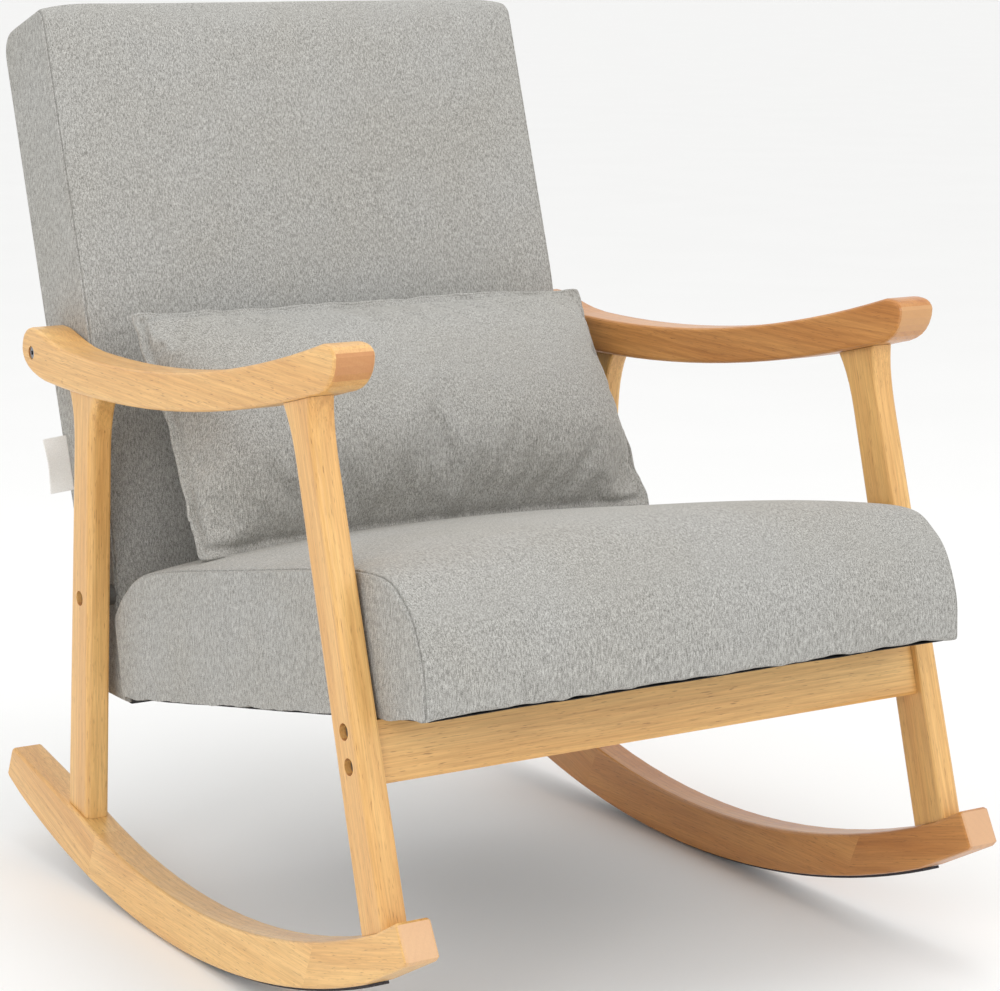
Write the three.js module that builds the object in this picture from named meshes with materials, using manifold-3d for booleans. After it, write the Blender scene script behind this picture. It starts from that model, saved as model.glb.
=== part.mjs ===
// Upholstered rocking chair with solid wood sides and a loose lumbar pillow.
// Millimetres, +Z up. The sitter faces -Y; the sitter's left is +X. The floor is Z = 0.
// Design frame: Y = 0 is where the rockers touch the floor; the finished group is then moved
// along Y so that the middle of its bounding box stands on the origin.

import * as THREE from "three";
import { mergeVertices } from "three/addons/utils/BufferGeometryUtils.js";
import Module from "manifold-3d";

const wasm = await Module();
wasm.setup();

// ---------------------------------------------------------------- driving dimensions

const OVERALL_WIDTH = 670; // outer face to outer face of the rockers and the armrests

const ROCKER_WIDTH = 35; // rocker size along X
const ROCKER_RADIUS = 1132; // underside arc
const ROCKER_TOP_RADIUS = 1037; // upper arc
const ROCKER_TOP_SHIFT = -32; // Y of the upper arc's centre
const ROCKER_DEPTH = 50.5; // thickness under the upper arc's centre
const ROCKER_FRONT_TIP = -502; // Y of the foremost point
const ROCKER_REAR_TIP = 399; // Y of the rearmost point
const ROCKER_TIP_HEIGHT = 36; // height of the cut at both tips
const ROCKER_TIP_SLANT = 16; // how far the cut leans over that height
const ROCKER_TIP_LIFT = 6; // the underside lifts off its arc by this much at the front tip
const ROCKER_STRAIGHT_FROM = 240; // the upper arc runs straight behind this Y
const STRIP_WIDTH = 20; // anti-slip strip along X
const STRIP_THICKNESS = 2.7;
const STRIP_END_INSET = 64; // the strip stops where the front tip is relieved
const STRIP_REAR_INSET = 28;

const LEG_THICKNESS = 25; // along X
const LEG_FOOT_WIDTH = 50; // along Y, at the rocker
const LEG_NECK_WIDTH = 43; // along Y, under the flare
const LEG_FLARE = 15; // each flared edge leaves its straight line by this much
const LEG_FLARE_LENGTH = 62; // height over which the edges flare
const LEG_EDGE_RADIUS = 7; // rounding of the outer long edges
const FRONT_LEG_FOOT_Y = -427; // leg centreline at FOOT_LEVEL
const FRONT_LEG_NECK_Y = -320; // leg centreline at NECK_LEVEL
const REAR_LEG_FOOT_Y = 209; // centreline of the rear leg at FOOT_LEVEL
const REAR_LEG_NECK_Y = 175; // centreline of the rear leg at NECK_LEVEL
const FOOT_LEVEL = 153;
const NECK_LEVEL = 528;

const ARM_WIDTH = 42; // along X
const ARM_UNDER_RADIUS = 2011; // underside arc
const ARM_TOP_RADIUS = 1743; // upper arc
const ARM_UNDER_HEIGHT = 539; // lowest point of the underside
const ARM_THICKNESS = 39.4; // at the lowest point of the upper arc
const ARM_UNDER_CENTRE = 172; // Y of the underside's lowest point
const ARM_TOP_CENTRE = 147.5; // Y of the upper arc's lowest point
const ARM_FRONT_TIP = -384; // Y of the front end
const ARM_REAR_TIP = 320; // Y of the rear end
const ARM_HORN_RISE = 11; // the rear end swells above the upper arc by this much

const RAIL_THICKNESS = 25; // front rail, square to its face
const RAIL_SETBACK = 9; // face of the rail behind the front edges of the legs
const RAIL_UNDERSIDE = 263; // Z of the rail's lower front edge

const SEAT_SIDE_CLEARANCE = 5; // seat cover to the legs
const SEAT_DEPTH = 652; // along the seat's slope
const SEAT_THICKNESS = 136; // at the crown, square to the slope
const SEAT_REAR_THICKNESS = 88; // where the seat meets the backrest
const SEAT_FRONT_RADIUS = 50;
const SEAT_PITCH = 10.75; // degrees, front up
const SEAT_REAR_Y = 160; // lower rear corner
const SEAT_REAR_Z = 214;

const BACK_SIDE_CLEARANCE = 0.5; // backrest to the armrests
const BACK_LENGTH = 730; // along the lean
const BACK_LEAN = 17.6; // degrees from upright
const BACK_THICKNESS = 114; // at and above the lumbar line
const BACK_FOOT_THICKNESS = 66; // at the lower end
const BACK_LUMBAR_LINE = 409; // distance up the back where it is full thickness

const PILLOW_SIDE_CLEARANCE = 19; // pillow to the armrests
const PILLOW_HEIGHT = 274;
const PILLOW_THICKNESS = 126;
const PILLOW_RIM = 12; // thickness at the seam
const PILLOW_LEAN = 34; // degrees from upright
const PILLOW_FOOT_Y = 18; // lower seam
const PILLOW_FOOT_Z = 390;
const PILLOW_DRAW_IN = 0.015; // how far the edges draw in between the corners, as a share

const COVER_WALL = 2.5; // fabric and its backing
const PLY = 18; // plywood sides of the inner frame
const FRAME_DEPTH = 78; // height of the seat frame, square to the slope
const BOARD = 9; // seat board
const RAIL_STOCK = 30; // square stock of the inner cross rails
const FRONT_PAD = 26; // foam in front of the seat frame
const TOP_PAD = 22; // foam above the back frame
const BACK_PAD = 27; // foam in front of the back frame
const TAG_WIDTH = 27; // plain fabric tag that stands out of the side of the backrest
const TAG_LENGTH = 60;
const TAG_THICKNESS = 1;
const TAG_INSET = 14; // in front of the backrest's rear face
const TAG_HEIGHT = 247; // middle of the tag, up the back

const DOWEL_RADIUS = 5;
const DOWEL_LENGTH = 48;
const DOWEL_SPACING = 24;
const BOLT_RADIUS = 3;
const BOLT_HEAD_RADIUS = 6.5;
const BOLT_HEAD_HEIGHT = 5;
const HEX_KEY = 5; // across flats of the socket in a bolt head
const COUNTERBORE_RADIUS = 8;
const LEG_COUNTERBORE_DEPTH = 11;
const ARM_COUNTERBORE_RADIUS = 7.2;
const ARM_COUNTERBORE_DEPTH = 6.5;
const RAIL_BOLT_LENGTH = 70; // under the head
const RAIL_BOLT_SPACING = 31.4;
const RAIL_FIRST_BOLT = 19.4; // lower bolt above the rail's lower front edge
const BARREL_RADIUS = 5;
const BARREL_LENGTH = 18;
const INSERT_RADIUS = 5;
const INSERT_LENGTH = 15;
const SPACER_RADIUS = 11;
const REAR_BOLT_HEIGHT = 319; // Z of the bolt through the rear leg
const ARM_BOLT_INSET = 27; // bolt centre in front of the armrest's rear tip

const GAP = 0.3; // between pieces that touch
const CLEARANCE = 0.5; // round bolts, dowels and inside the covers
const STEP = THREE.MathUtils.degToRad(1.02); // facet of the underside arcs
const SOFT_EDGE = 3; // rounding of sawn wood edges

// ---------------------------------------------------------------- derived sizes

const rad = THREE.MathUtils.degToRad;
const base = STRIP_THICKNESS + GAP; // wood underside above the floor
const outerX = OVERALL_WIDTH / 2;
const rockerMidX = outerX - ROCKER_WIDTH / 2;
const legInnerX = rockerMidX - LEG_THICKNESS / 2;
const armInnerX = outerX - ARM_WIDTH;

const underCentreZ = base + ROCKER_RADIUS;
const topCentreZ =
  underCentreZ -
  Math.sqrt(ROCKER_RADIUS ** 2 - ROCKER_TOP_SHIFT ** 2) +
  ROCKER_DEPTH +
  ROCKER_TOP_RADIUS;
const armUnderCentreZ = ARM_UNDER_HEIGHT + ARM_UNDER_RADIUS;
const armTopCentreZ = ARM_UNDER_HEIGHT + ARM_THICKNESS + ARM_TOP_RADIUS;

const circleZ = (y, centreY, centreZ, radius) =>
  centreZ - Math.sqrt(radius ** 2 - (y - centreY) ** 2);
const rockerUnder = (y) => circleZ(y, 0, underCentreZ, ROCKER_RADIUS);
const rockerTop = (y) => circleZ(y, ROCKER_TOP_SHIFT, topCentreZ, ROCKER_TOP_RADIUS);
const armUnder = (y) => circleZ(y, ARM_UNDER_CENTRE, armUnderCentreZ, ARM_UNDER_RADIUS);
const armTop = (y) => circleZ(y, ARM_TOP_CENTRE, armTopCentreZ, ARM_TOP_RADIUS);

// ---------------------------------------------------------------- materials

const material = (color, roughness, metalness = 0) =>
  new THREE.MeshStandardMaterial({ color, roughness, metalness });

const WOOD = material("#d9a968", 0.42);
const WOOD_RAIL = material("#d3a064", 0.45);
const DOWEL_WOOD = material("#e3c594", 0.6);
const STEEL = material("#b9bcc0", 0.3, 1);
const ZINC = material("#9da1a6", 0.45, 1);
const SPACER_BEECH = material("#c79a63", 0.5);
const FELT = material("#3c3b40", 0.95);
const LINEN = material("#a5a299", 0.95);
const DUST_CLOTH = material("#17181c", 0.9);
const FOAM = material("#efe6c8", 0.9);
const PLYWOOD = material("#c9a06a", 0.7);
const FILLING = material("#f2f1ee", 0.95);
const TAG_CLOTH = material("#f3f2ef", 0.8);

// ---------------------------------------------------------------- solids

function solidFrom(geometry) {
  const bare = geometry.clone();
  bare.deleteAttribute("normal");
  bare.deleteAttribute("uv");
  const merged = mergeVertices(bare, 1e-3);
  return new wasm.Manifold(
    new wasm.Mesh({
      numProp: 3,
      vertProperties: merged.attributes.position.array,
      triVerts: new Uint32Array(merged.index.array),
    }),
  );
}

function geometryFrom(solid) {
  const mesh = solid.getMesh();
  const geometry = new THREE.BufferGeometry();
  geometry.setAttribute("position", new THREE.BufferAttribute(mesh.vertProperties, 3));
  geometry.setIndex(new THREE.BufferAttribute(mesh.triVerts, 1));
  geometry.computeVertexNormals();
  return geometry;
}

const without = (solid, cuts) => cuts.reduce((left, cut) => left.subtract(cut), solid);

// Turns an extrusion of a (Y, Z) outline so that its depth runs along X from x0.
function alongX(geometry, x0) {
  const turn = new THREE.Matrix4().makeBasis(
    new THREE.Vector3(0, 1, 0),
    new THREE.Vector3(0, 0, 1),
    new THREE.Vector3(1, 0, 0),
  );
  return geometry.applyMatrix4(turn).translate(x0, 0, 0);
}

// A plate with the given (Y, Z) outline between x0 and x1, its rims rounded by `round`.
function plate(outline, x0, x1, round = 0, segments = 2, curveSegments = 6) {
  const shape = Array.isArray(outline)
    ? new THREE.Shape(outline.map(([y, z]) => new THREE.Vector2(y, z)))
    : outline;
  const rim = {
    bevelEnabled: round > 0,
    bevelThickness: round,
    bevelSize: round,
    bevelOffset: -round,
    bevelSegments: segments,
  };
  const depth = x1 - x0 - 2 * round;
  const geometry = new THREE.ExtrudeGeometry(shape, { depth, steps: 1, curveSegments, ...rim });
  return solidFrom(alongX(geometry, x0 + round));
}

// A round rod along X from x0 to x1, centred on (y, z).
function rodX(radius, x0, x1, y, z, sides = 16) {
  const rod = new THREE.CylinderGeometry(radius, radius, x1 - x0, sides);
  rod.rotateZ(Math.PI / 2).translate((x0 + x1) / 2, y, z);
  return solidFrom(rod);
}

// A round rod in the (Y, Z) plane at x, centred on (y, z), tilted from +Z towards +Y.
function rodUp(radius, length, x, y, z, tilt, sides = 12) {
  const rod = new THREE.CylinderGeometry(radius, radius, length, sides);
  rod.rotateX(Math.PI / 2 - tilt).translate(x, y, z);
  return solidFrom(rod);
}

function mesh(name, solid, finish) {
  const part = new THREE.Mesh(geometryFrom(solid), finish);
  part.name = name;
  return part;
}

// Points on a circle of centre (cy, cz) whose facets touch it, from y0 to y1 (lower half).
function facetedArc(cy, cz, radius, y0, y1, step) {
  const first = Math.asin((y0 - cy) / radius) / step;
  const last = Math.asin((y1 - cy) / radius) / step;
  const reach = radius / Math.cos(step / 2);
  const points = [];
  for (let k = Math.ceil(first - 0.5) + 0.5; k < last; k += 1) {
    const angle = k * step;
    points.push([cy + reach * Math.sin(angle), cz - reach * Math.cos(angle)]);
  }
  return points;
}

// ---------------------------------------------------------------- rockers and strips

// The underside follows its arc and lifts off it towards the front tip.
function undersideArc(extra, y0, y1) {
  return facetedArc(0, underCentreZ, ROCKER_RADIUS + extra, y0, y1, STEP);
}

function rockerOutline() {
  const relief = ROCKER_FRONT_TIP + 62;
  const frontLow = rockerUnder(ROCKER_FRONT_TIP) + ROCKER_TIP_LIFT;
  const rearLow = rockerUnder(ROCKER_REAR_TIP) + 1;
  const lower = undersideArc(0, relief, ROCKER_REAR_TIP - 14);
  const upper = facetedArc(
    ROCKER_TOP_SHIFT,
    topCentreZ,
    ROCKER_TOP_RADIUS,
    ROCKER_FRONT_TIP + ROCKER_TIP_SLANT + 14,
    ROCKER_STRAIGHT_FROM,
    STEP * 2,
  ).reverse();
  const rearTopY = ROCKER_REAR_TIP - ROCKER_TIP_SLANT;
  const frontTopY = ROCKER_FRONT_TIP + ROCKER_TIP_SLANT;
  return [
    [ROCKER_FRONT_TIP + 4, frontLow - 2],
    ...lower,
    [ROCKER_REAR_TIP - 3, rearLow - 0.5],
    [ROCKER_REAR_TIP, rearLow + 3],
    [rearTopY + 1.5, rearLow + ROCKER_TIP_HEIGHT - 3],
    [rearTopY - 3, rearLow + ROCKER_TIP_HEIGHT],
    ...upper,
    [frontTopY + 4, frontLow + ROCKER_TIP_HEIGHT - 2.6],
    [frontTopY, frontLow + ROCKER_TIP_HEIGHT - 3],
    [ROCKER_FRONT_TIP, frontLow + 3],
  ];
}

function rockerSolid() {
  return plate(rockerOutline(), outerX - ROCKER_WIDTH, outerX, SOFT_EDGE);
}

function stripSolid() {
  const y0 = ROCKER_FRONT_TIP + STRIP_END_INSET;
  const y1 = ROCKER_REAR_TIP - STRIP_REAR_INSET;
  const upper = undersideArc(GAP, y0, y1);
  const lower = undersideArc(GAP + STRIP_THICKNESS, y0, y1);
  const half = STRIP_WIDTH / 2;
  return plate([...lower, ...upper.reverse()], rockerMidX - half, rockerMidX + half);
}

// ---------------------------------------------------------------- armrest

function armShape() {
  const shape = new THREE.Shape();
  const front = ARM_FRONT_TIP;
  const rear = ARM_REAR_TIP;
  const underStart = front + 36;
  const underEnd = rear - 34;
  const lower = facetedArc(
    ARM_UNDER_CENTRE, armUnderCentreZ, ARM_UNDER_RADIUS, underStart, underEnd, STEP);
  const upper = facetedArc(
    ARM_TOP_CENTRE, armTopCentreZ, ARM_TOP_RADIUS, front + 26, rear - 105, STEP);
  const noseZ = armUnder(front) + 16;
  const crownZ = armTop(rear - 35) + ARM_HORN_RISE;
  const heelZ = (armUnder(rear) + crownZ) / 2;
  const crestEnd = upper[upper.length - 1];
  shape.moveTo(...lower[0]);
  lower.slice(1).forEach(([y, z]) => shape.lineTo(y, z));
  shape.quadraticCurveTo(rear - 2, armUnder(rear) + 2, rear, heelZ);
  shape.quadraticCurveTo(rear - 2, crownZ - 3, rear - 24, crownZ);
  shape.bezierCurveTo(rear - 55, crownZ + 1, rear - 70, crestEnd[1] + 3, ...crestEnd);
  upper.slice(0, -1).reverse().forEach(([y, z]) => shape.lineTo(y, z));
  shape.quadraticCurveTo(front + 3, armTop(front) - 6, front, noseZ + 10);
  shape.lineTo(front + 1, noseZ + 2);
  shape.quadraticCurveTo(front + 8, armUnder(front + 14) - 2, ...lower[0]);
  return shape;
}

function armBlank() {
  return plate(armShape(), armInnerX, outerX, 4, 3);
}

// ---------------------------------------------------------------- legs

// A leg by its centreline: straight edges that taper from foot to neck and flare at the top.
const frontLeg = {
  name: "front_leg",
  centre: (z) => lerpLevel(z, FRONT_LEG_FOOT_Y, FRONT_LEG_NECK_Y),
  tilt: Math.atan2(FRONT_LEG_NECK_Y - FRONT_LEG_FOOT_Y, NECK_LEVEL - FOOT_LEVEL),
  flares: [LEG_FLARE * 0.5, LEG_FLARE],
};
const rearLeg = {
  name: "rear_leg",
  centre: (z) => lerpLevel(z, REAR_LEG_FOOT_Y, REAR_LEG_NECK_Y),
  tilt: Math.atan2(REAR_LEG_NECK_Y - REAR_LEG_FOOT_Y, NECK_LEVEL - FOOT_LEVEL),
  flares: [LEG_FLARE, LEG_FLARE],
};

function lerpLevel(z, atFoot, atNeck) {
  return atFoot + ((atNeck - atFoot) * (z - FOOT_LEVEL)) / (NECK_LEVEL - FOOT_LEVEL);
}
const halfWidth = (z) => lerpLevel(z, LEG_FOOT_WIDTH / 2, LEG_NECK_WIDTH / 2);
const frontEdge = (leg, z) => leg.centre(z) - halfWidth(z);
const rearEdge = (leg, z) => leg.centre(z) + halfWidth(z);

// Height at which a falling search along the leg's centreline meets a curve z(y).
function meets(leg, curve, start) {
  let z = start;
  for (let turn = 0; turn < 20; turn += 1) z = curve(leg.centre(z));
  return z;
}

function legOutline(leg) {
  const topZ = meets(leg, armUnder, NECK_LEVEL);
  const footZ = meets(leg, rockerTop, FOOT_LEVEL);
  const low = footZ - ROCKER_DEPTH * 0.5;
  const high = topZ + ARM_THICKNESS * 0.5;
  const flareZ = topZ - LEG_FLARE_LENGTH;
  const kneeZ = topZ - LEG_FLARE_LENGTH * 0.35;
  const [ahead, behind] = leg.flares;
  const shape = new THREE.Shape();
  shape.moveTo(frontEdge(leg, low), low);
  shape.lineTo(rearEdge(leg, low), low);
  shape.lineTo(rearEdge(leg, flareZ), flareZ);
  shape.quadraticCurveTo(
    rearEdge(leg, kneeZ), kneeZ, rearEdge(leg, topZ) + behind, topZ);
  shape.lineTo(rearEdge(leg, topZ) + behind + 8, high);
  shape.lineTo(frontEdge(leg, topZ) - ahead, high);
  shape.lineTo(frontEdge(leg, topZ) - ahead, topZ);
  shape.quadraticCurveTo(
    frontEdge(leg, kneeZ), kneeZ, frontEdge(leg, flareZ), flareZ);
  return shape;
}

// What the rocker and the armrest take off a leg's ends, with the gap they keep to it.
function legTrims() {
  const x0 = legInnerX - 5;
  const x1 = outerX + 5;
  return [
    plate(rockerOutline(), x0, x1).translate([0, 0, GAP]),
    plate(armShape(), x0, x1).translate([0, 0, -GAP]),
  ];
}

// The outer long edges are well rounded and the inner ones only eased.
function legBlank(leg) {
  const outline = legOutline(leg);
  const inner = legInnerX;
  const outer = legInnerX + LEG_THICKNESS;
  const rounded = plate(outline, inner - 30, outer, LEG_EDGE_RADIUS, 4);
  const eased = plate(outline, inner, outer + 30, SOFT_EDGE, 2);
  return rounded.intersect(eased);
}

// ---------------------------------------------------------------- joints in the side frames

// Dowels sit two abreast across the leg, half in the leg and half in the piece it meets.
function dowelPlaces() {
  const places = [];
  for (const leg of [frontLeg, rearLeg]) {
    for (const [end, curve, start] of [
      ["foot", rockerTop, FOOT_LEVEL],
      ["arm", armUnder, NECK_LEVEL],
    ]) {
      const z = meets(leg, curve, start);
      const y = leg.centre(z);
      [-1, 1].forEach((side, i) => {
        const across = (side * DOWEL_SPACING) / 2;
        const shiftZ = curve(y + across) - curve(y);
        places.push({
          name: `${leg.name}_${end}_dowel_${i + 1}`,
          y: y + across,
          z: z + shiftZ,
          tilt: leg.tilt,
        });
      });
    }
  }
  return places;
}

const dowelSolid = (place) =>
  rodUp(DOWEL_RADIUS, DOWEL_LENGTH, rockerMidX, place.y, place.z, place.tilt, 10);
const dowelHole = (place) =>
  rodUp(DOWEL_RADIUS + CLEARANCE, DOWEL_LENGTH + 2, rockerMidX, place.y, place.z, place.tilt, 10);

// A socket-head bolt along X: the head's outer face at headX, the shank running inwards.
function boltSolid(headX, length, y, z) {
  const head = rodX(BOLT_HEAD_RADIUS, headX - BOLT_HEAD_HEIGHT, headX, y, z, 20);
  const shank = rodX(
    BOLT_RADIUS, headX - BOLT_HEAD_HEIGHT - length, headX - BOLT_HEAD_HEIGHT + 0.5, y, z, 12);
  const socket = rodX(HEX_KEY / Math.sqrt(3), headX - 3, headX + 1, y, z, 6);
  return head.add(shank).subtract(socket);
}

function boltHole(faceX, depth, radius, endX, y, z) {
  const pocket = rodX(radius, faceX - depth, faceX + 10, y, z, 24);
  const hole = rodX(BOLT_RADIUS + CLEARANCE, endX, faceX - depth + 1, y, z, 12);
  return pocket.add(hole);
}

// ---------------------------------------------------------------- front rail

const railTilt = frontLeg.tilt;
const railFaceY = (z) => frontEdge(frontLeg, z) + RAIL_SETBACK / Math.cos(railTilt);
const railEndX = legInnerX - GAP;

// Underside of the seat, in the design frame.
const seatUnderZ = (y) => SEAT_REAR_Z + (SEAT_REAR_Y - y) * Math.tan(rad(SEAT_PITCH));

function railOutline() {
  const low = new THREE.Vector2(railFaceY(RAIL_UNDERSIDE), RAIL_UNDERSIDE);
  const up = new THREE.Vector2(Math.sin(railTilt), Math.cos(railTilt));
  const inward = new THREE.Vector2(up.y, -up.x);
  const topAt = (start) => {
    let length = 40;
    for (let turn = 0; turn < 20; turn += 1) {
      const y = start.x + up.x * length;
      length = (seatUnderZ(y) - DUST_DROP - GAP - start.y) / up.y;
    }
    return length;
  };
  const rear = low.clone().addScaledVector(inward, RAIL_THICKNESS);
  const frontTop = low.clone().addScaledVector(up, topAt(low));
  const rearTop = rear.clone().addScaledVector(up, topAt(rear));
  const ease = 2.5;
  return [
    low.clone().addScaledVector(inward, ease),
    rear.clone().addScaledVector(inward, -ease),
    rear.clone().addScaledVector(up, ease),
    rearTop,
    frontTop,
    low.clone().addScaledVector(up, ease),
  ].map((p) => [p.x, p.y]);
}

// The bolts sit on the rail's mid-plane.
function railBoltPlaces() {
  const up = [Math.sin(railTilt), Math.cos(railTilt)];
  const mid = RAIL_THICKNESS / 2;
  return [0, 1].map((i) => {
    const rise = RAIL_FIRST_BOLT + i * RAIL_BOLT_SPACING;
    return {
      y: railFaceY(RAIL_UNDERSIDE) + up[0] * rise + up[1] * mid,
      z: RAIL_UNDERSIDE + up[1] * rise - up[0] * mid,
    };
  });
}

const railBoltHeadX = legInnerX + LEG_THICKNESS - LEG_COUNTERBORE_DEPTH + BOLT_HEAD_HEIGHT + GAP;
const barrelX = railBoltHeadX - BOLT_HEAD_HEIGHT - RAIL_BOLT_LENGTH + 14;

const barrelSolid = (place) =>
  rodUp(BARREL_RADIUS, BARREL_LENGTH, barrelX, place.y, place.z, railTilt + Math.PI / 2, 14)
    .subtract(rodX(BOLT_RADIUS + CLEARANCE, barrelX - 20, barrelX + 20, place.y, place.z, 12));

// The cross hole for a barrel nut opens in the rail's rear face.
function barrelHole(place) {
  const reach = 20;
  const length = BARREL_LENGTH / 2 + CLEARANCE + reach;
  const shift = (reach - BARREL_LENGTH / 2 - CLEARANCE) / 2;
  const y = place.y + Math.cos(railTilt) * shift;
  const z = place.z - Math.sin(railTilt) * shift;
  return rodUp(BARREL_RADIUS + CLEARANCE, length, barrelX, y, z, railTilt + Math.PI / 2, 14);
}

// ---------------------------------------------------------------- upholstered body

const DUST_THICKNESS = 0.8;
const DUST_DROP = DUST_THICKNESS + GAP; // lowest face of the dust cloth under the covers' hems
const DUST_INSET = 4; // from the sides of the backrest and from its rear hem
const DUST_FRONT_INSET = 16;
const DUST_STEP = 14; // the cloth dips under the backrest from this far in front of it
const seatHalf = legInnerX - SEAT_SIDE_CLEARANCE;
const backHalf = armInnerX - BACK_SIDE_CLEARANCE;
const pillowWidth = 2 * (armInnerX - PILLOW_SIDE_CLEARANCE);
const plyOuterX = backHalf - COVER_WALL - CLEARANCE;
const plyInnerX = plyOuterX - PLY;

// Points given along the seat (s forward from the rear, t square to the slope) to (Y, Z).
function onSeat(s, t) {
  const a = rad(SEAT_PITCH);
  return [
    SEAT_REAR_Y - s * Math.cos(a) + t * Math.sin(a),
    SEAT_REAR_Z + s * Math.sin(a) + t * Math.cos(a),
  ];
}

const BACK_JOINT = 4; // between the seat's rear face and the backrest's front face
const backFootY = SEAT_REAR_Y + BACK_JOINT + BACK_FOOT_THICKNESS / Math.cos(rad(BACK_LEAN));
const backFootZ = SEAT_REAR_Z - 8;

// Points given along the back (d forward from its rear face, h up the lean) to (Y, Z).
function onBack(d, h) {
  const a = rad(BACK_LEAN);
  return [
    backFootY + h * Math.sin(a) - d * Math.cos(a),
    backFootZ + h * Math.cos(a) + d * Math.sin(a),
  ];
}

function roundedThrough(points, samples) {
  const curve = new THREE.CatmullRomCurve3(
    points.map(([y, z]) => new THREE.Vector3(0, y, z)), false, "centripetal");
  return curve.getPoints(samples).map((p) => [p.y, p.z]);
}

// Side profile of the seat, drawn in by `inset` all round; `floor` is the height of its base.
function seatProfile(inset, floor) {
  const top = SEAT_THICKNESS - inset;
  const front = SEAT_DEPTH - inset;
  const r = SEAT_FRONT_RADIUS - inset;
  const crest = roundedThrough(
    [
      onSeat(inset, SEAT_REAR_THICKNESS - inset),
      onSeat(40, SEAT_REAR_THICKNESS + 24 - inset),
      onSeat(110, top - 5),
      onSeat(SEAT_DEPTH * 0.45, top),
      onSeat(front - r - 40, top - 3),
      onSeat(front - r * 0.42, top - r * 0.62),
      onSeat(front, top - r * 1.75),
    ],
    18,
  );
  return [onSeat(inset, floor), ...crest, onSeat(front - 6, floor)].reverse();
}

// Thickness of the backrest at a height h up its lean.
function backDepth(h) {
  const t = THREE.MathUtils.clamp(h / BACK_LUMBAR_LINE, 0, 1);
  return THREE.MathUtils.lerp(BACK_FOOT_THICKNESS, BACK_THICKNESS, t * (2 - t) * 0.55 + t * 0.45);
}

// Side profile of the backrest between its rear face (at `rear`) and its front face less `pad`.
function backProfile(rear, pad, floor, crown) {
  const top = BACK_LENGTH - crown;
  const rise = (h) => onBack(backDepth(h) - pad, h);
  const heights = Array.from({ length: 12 }, (_, i) => ((i + 0.5) * BACK_LUMBAR_LINE) / 10);
  const face = heights.filter((h) => h > floor + 5 && h < top - 40).map(rise);
  const drop = Math.tan(rad(BACK_LEAN));
  const low = (d) => onBack(d, floor - d * drop);
  let toe = floor;
  for (let turn = 0; turn < 10; turn += 1) toe = floor - (backDepth(toe) - pad) * drop;
  return [
    low(rear),
    low(backDepth(toe) - pad),
    ...face,
    onBack(BACK_THICKNESS - pad, top - 30),
    onBack(BACK_THICKNESS - pad - 5, top - 10),
    onBack(BACK_THICKNESS - pad - 18, top),
    onBack(rear + 10, top),
    onBack(rear + 1, top - 6),
    onBack(rear, top - 14),
  ].reverse();
}

// Behind the seat the plywood lies straight under the cover; the back's foam starts above it.
const BARE_PAD = COVER_WALL + 2 * CLEARANCE;
const FOAM_FROM = 135; // distance up the back where the foam starts
const FOAM_FULL = 215; // and where it has its full thickness

// The inner frame: one L-shaped plywood side for both seat and back.
function frameSideOutline() {
  const seatTop = FRAME_DEPTH;
  const front = SEAT_DEPTH - COVER_WALL - FRONT_PAD;
  const rear = COVER_WALL + CLEARANCE;
  const top = BACK_LENGTH - COVER_WALL - TOP_PAD;
  const fore = (h, pad) => onBack(backDepth(h) - pad, h);
  return [
    onSeat(front, GAP),
    onSeat(front, seatTop - 20),
    onSeat(front - 12, seatTop),
    onSeat(0, seatTop),
    fore(seatTop * 0.8, BARE_PAD),
    fore(FOAM_FROM, BARE_PAD),
    fore(FOAM_FULL, BACK_PAD),
    fore(BACK_LUMBAR_LINE, BACK_PAD),
    fore(top - 30, BACK_PAD),
    fore(top, BACK_PAD + 24),
    onBack(rear, top),
    onBack(rear, 10),
    onSeat(0, GAP),
  ];
}

// A bar across the frame between the plywood sides, square to the seat or to the back.
function crossBar(corners) {
  return plate(corners, -plyInnerX + GAP, plyInnerX - GAP);
}

const seatBarCorners = (s, t, along, up) => [
  onSeat(s, t), onSeat(s, t + up), onSeat(s + along, t + up), onSeat(s + along, t)];
const backBarCorners = (d, h, deep, tall) => [
  onBack(d, h), onBack(d, h + tall), onBack(d + deep, h + tall), onBack(d + deep, h)];

const boardFloor = FRAME_DEPTH + GAP;
const boardTop = boardFloor + BOARD;
const boardFront = SEAT_DEPTH - COVER_WALL - FRONT_PAD;

function seatBoardSolid() {
  const rearMost = 6;
  return plate(
    seatBarCorners(rearMost, boardFloor, boardFront - rearMost - 12, BOARD),
    -plyOuterX, plyOuterX);
}

// Foam over the board and down in front of the frame.
function seatFoamSolid() {
  const inset = COVER_WALL + CLEARANCE;
  const outer = plate(
    seatProfile(inset, GAP), -seatHalf + inset, seatHalf - inset, 6, 1);
  const hollow = plate(
    [
      onSeat(-20, -20),
      onSeat(-20, boardTop + GAP),
      onSeat(boardFront + GAP - 12, boardTop + GAP),
      onSeat(boardFront + GAP, FRAME_DEPTH - 20),
      onSeat(boardFront + GAP, -20),
    ],
    -seatHalf - 10, seatHalf + 10);
  return outer.subtract(hollow);
}

// The gap in both covers through which the plywood sides run from the seat into the back.
function throat() {
  const [y, z] = onSeat(0, 0);
  const low = z - 40;
  const high = onSeat(0, boardTop)[1] + 3;
  const half = plyOuterX + CLEARANCE / 2;
  return plate([[y - 20, low], [y + 60, low], [y + 60, high], [y - 20, high]], -half, half);
}

function seatCoverSolid() {
  const outer = plate(seatProfile(0, 0), -seatHalf, seatHalf, 5, 2);
  const hollow = plate(
    seatProfile(COVER_WALL, -30), -seatHalf + COVER_WALL, seatHalf - COVER_WALL, 1, 1);
  return outer.subtract(hollow).subtract(throat());
}

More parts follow.
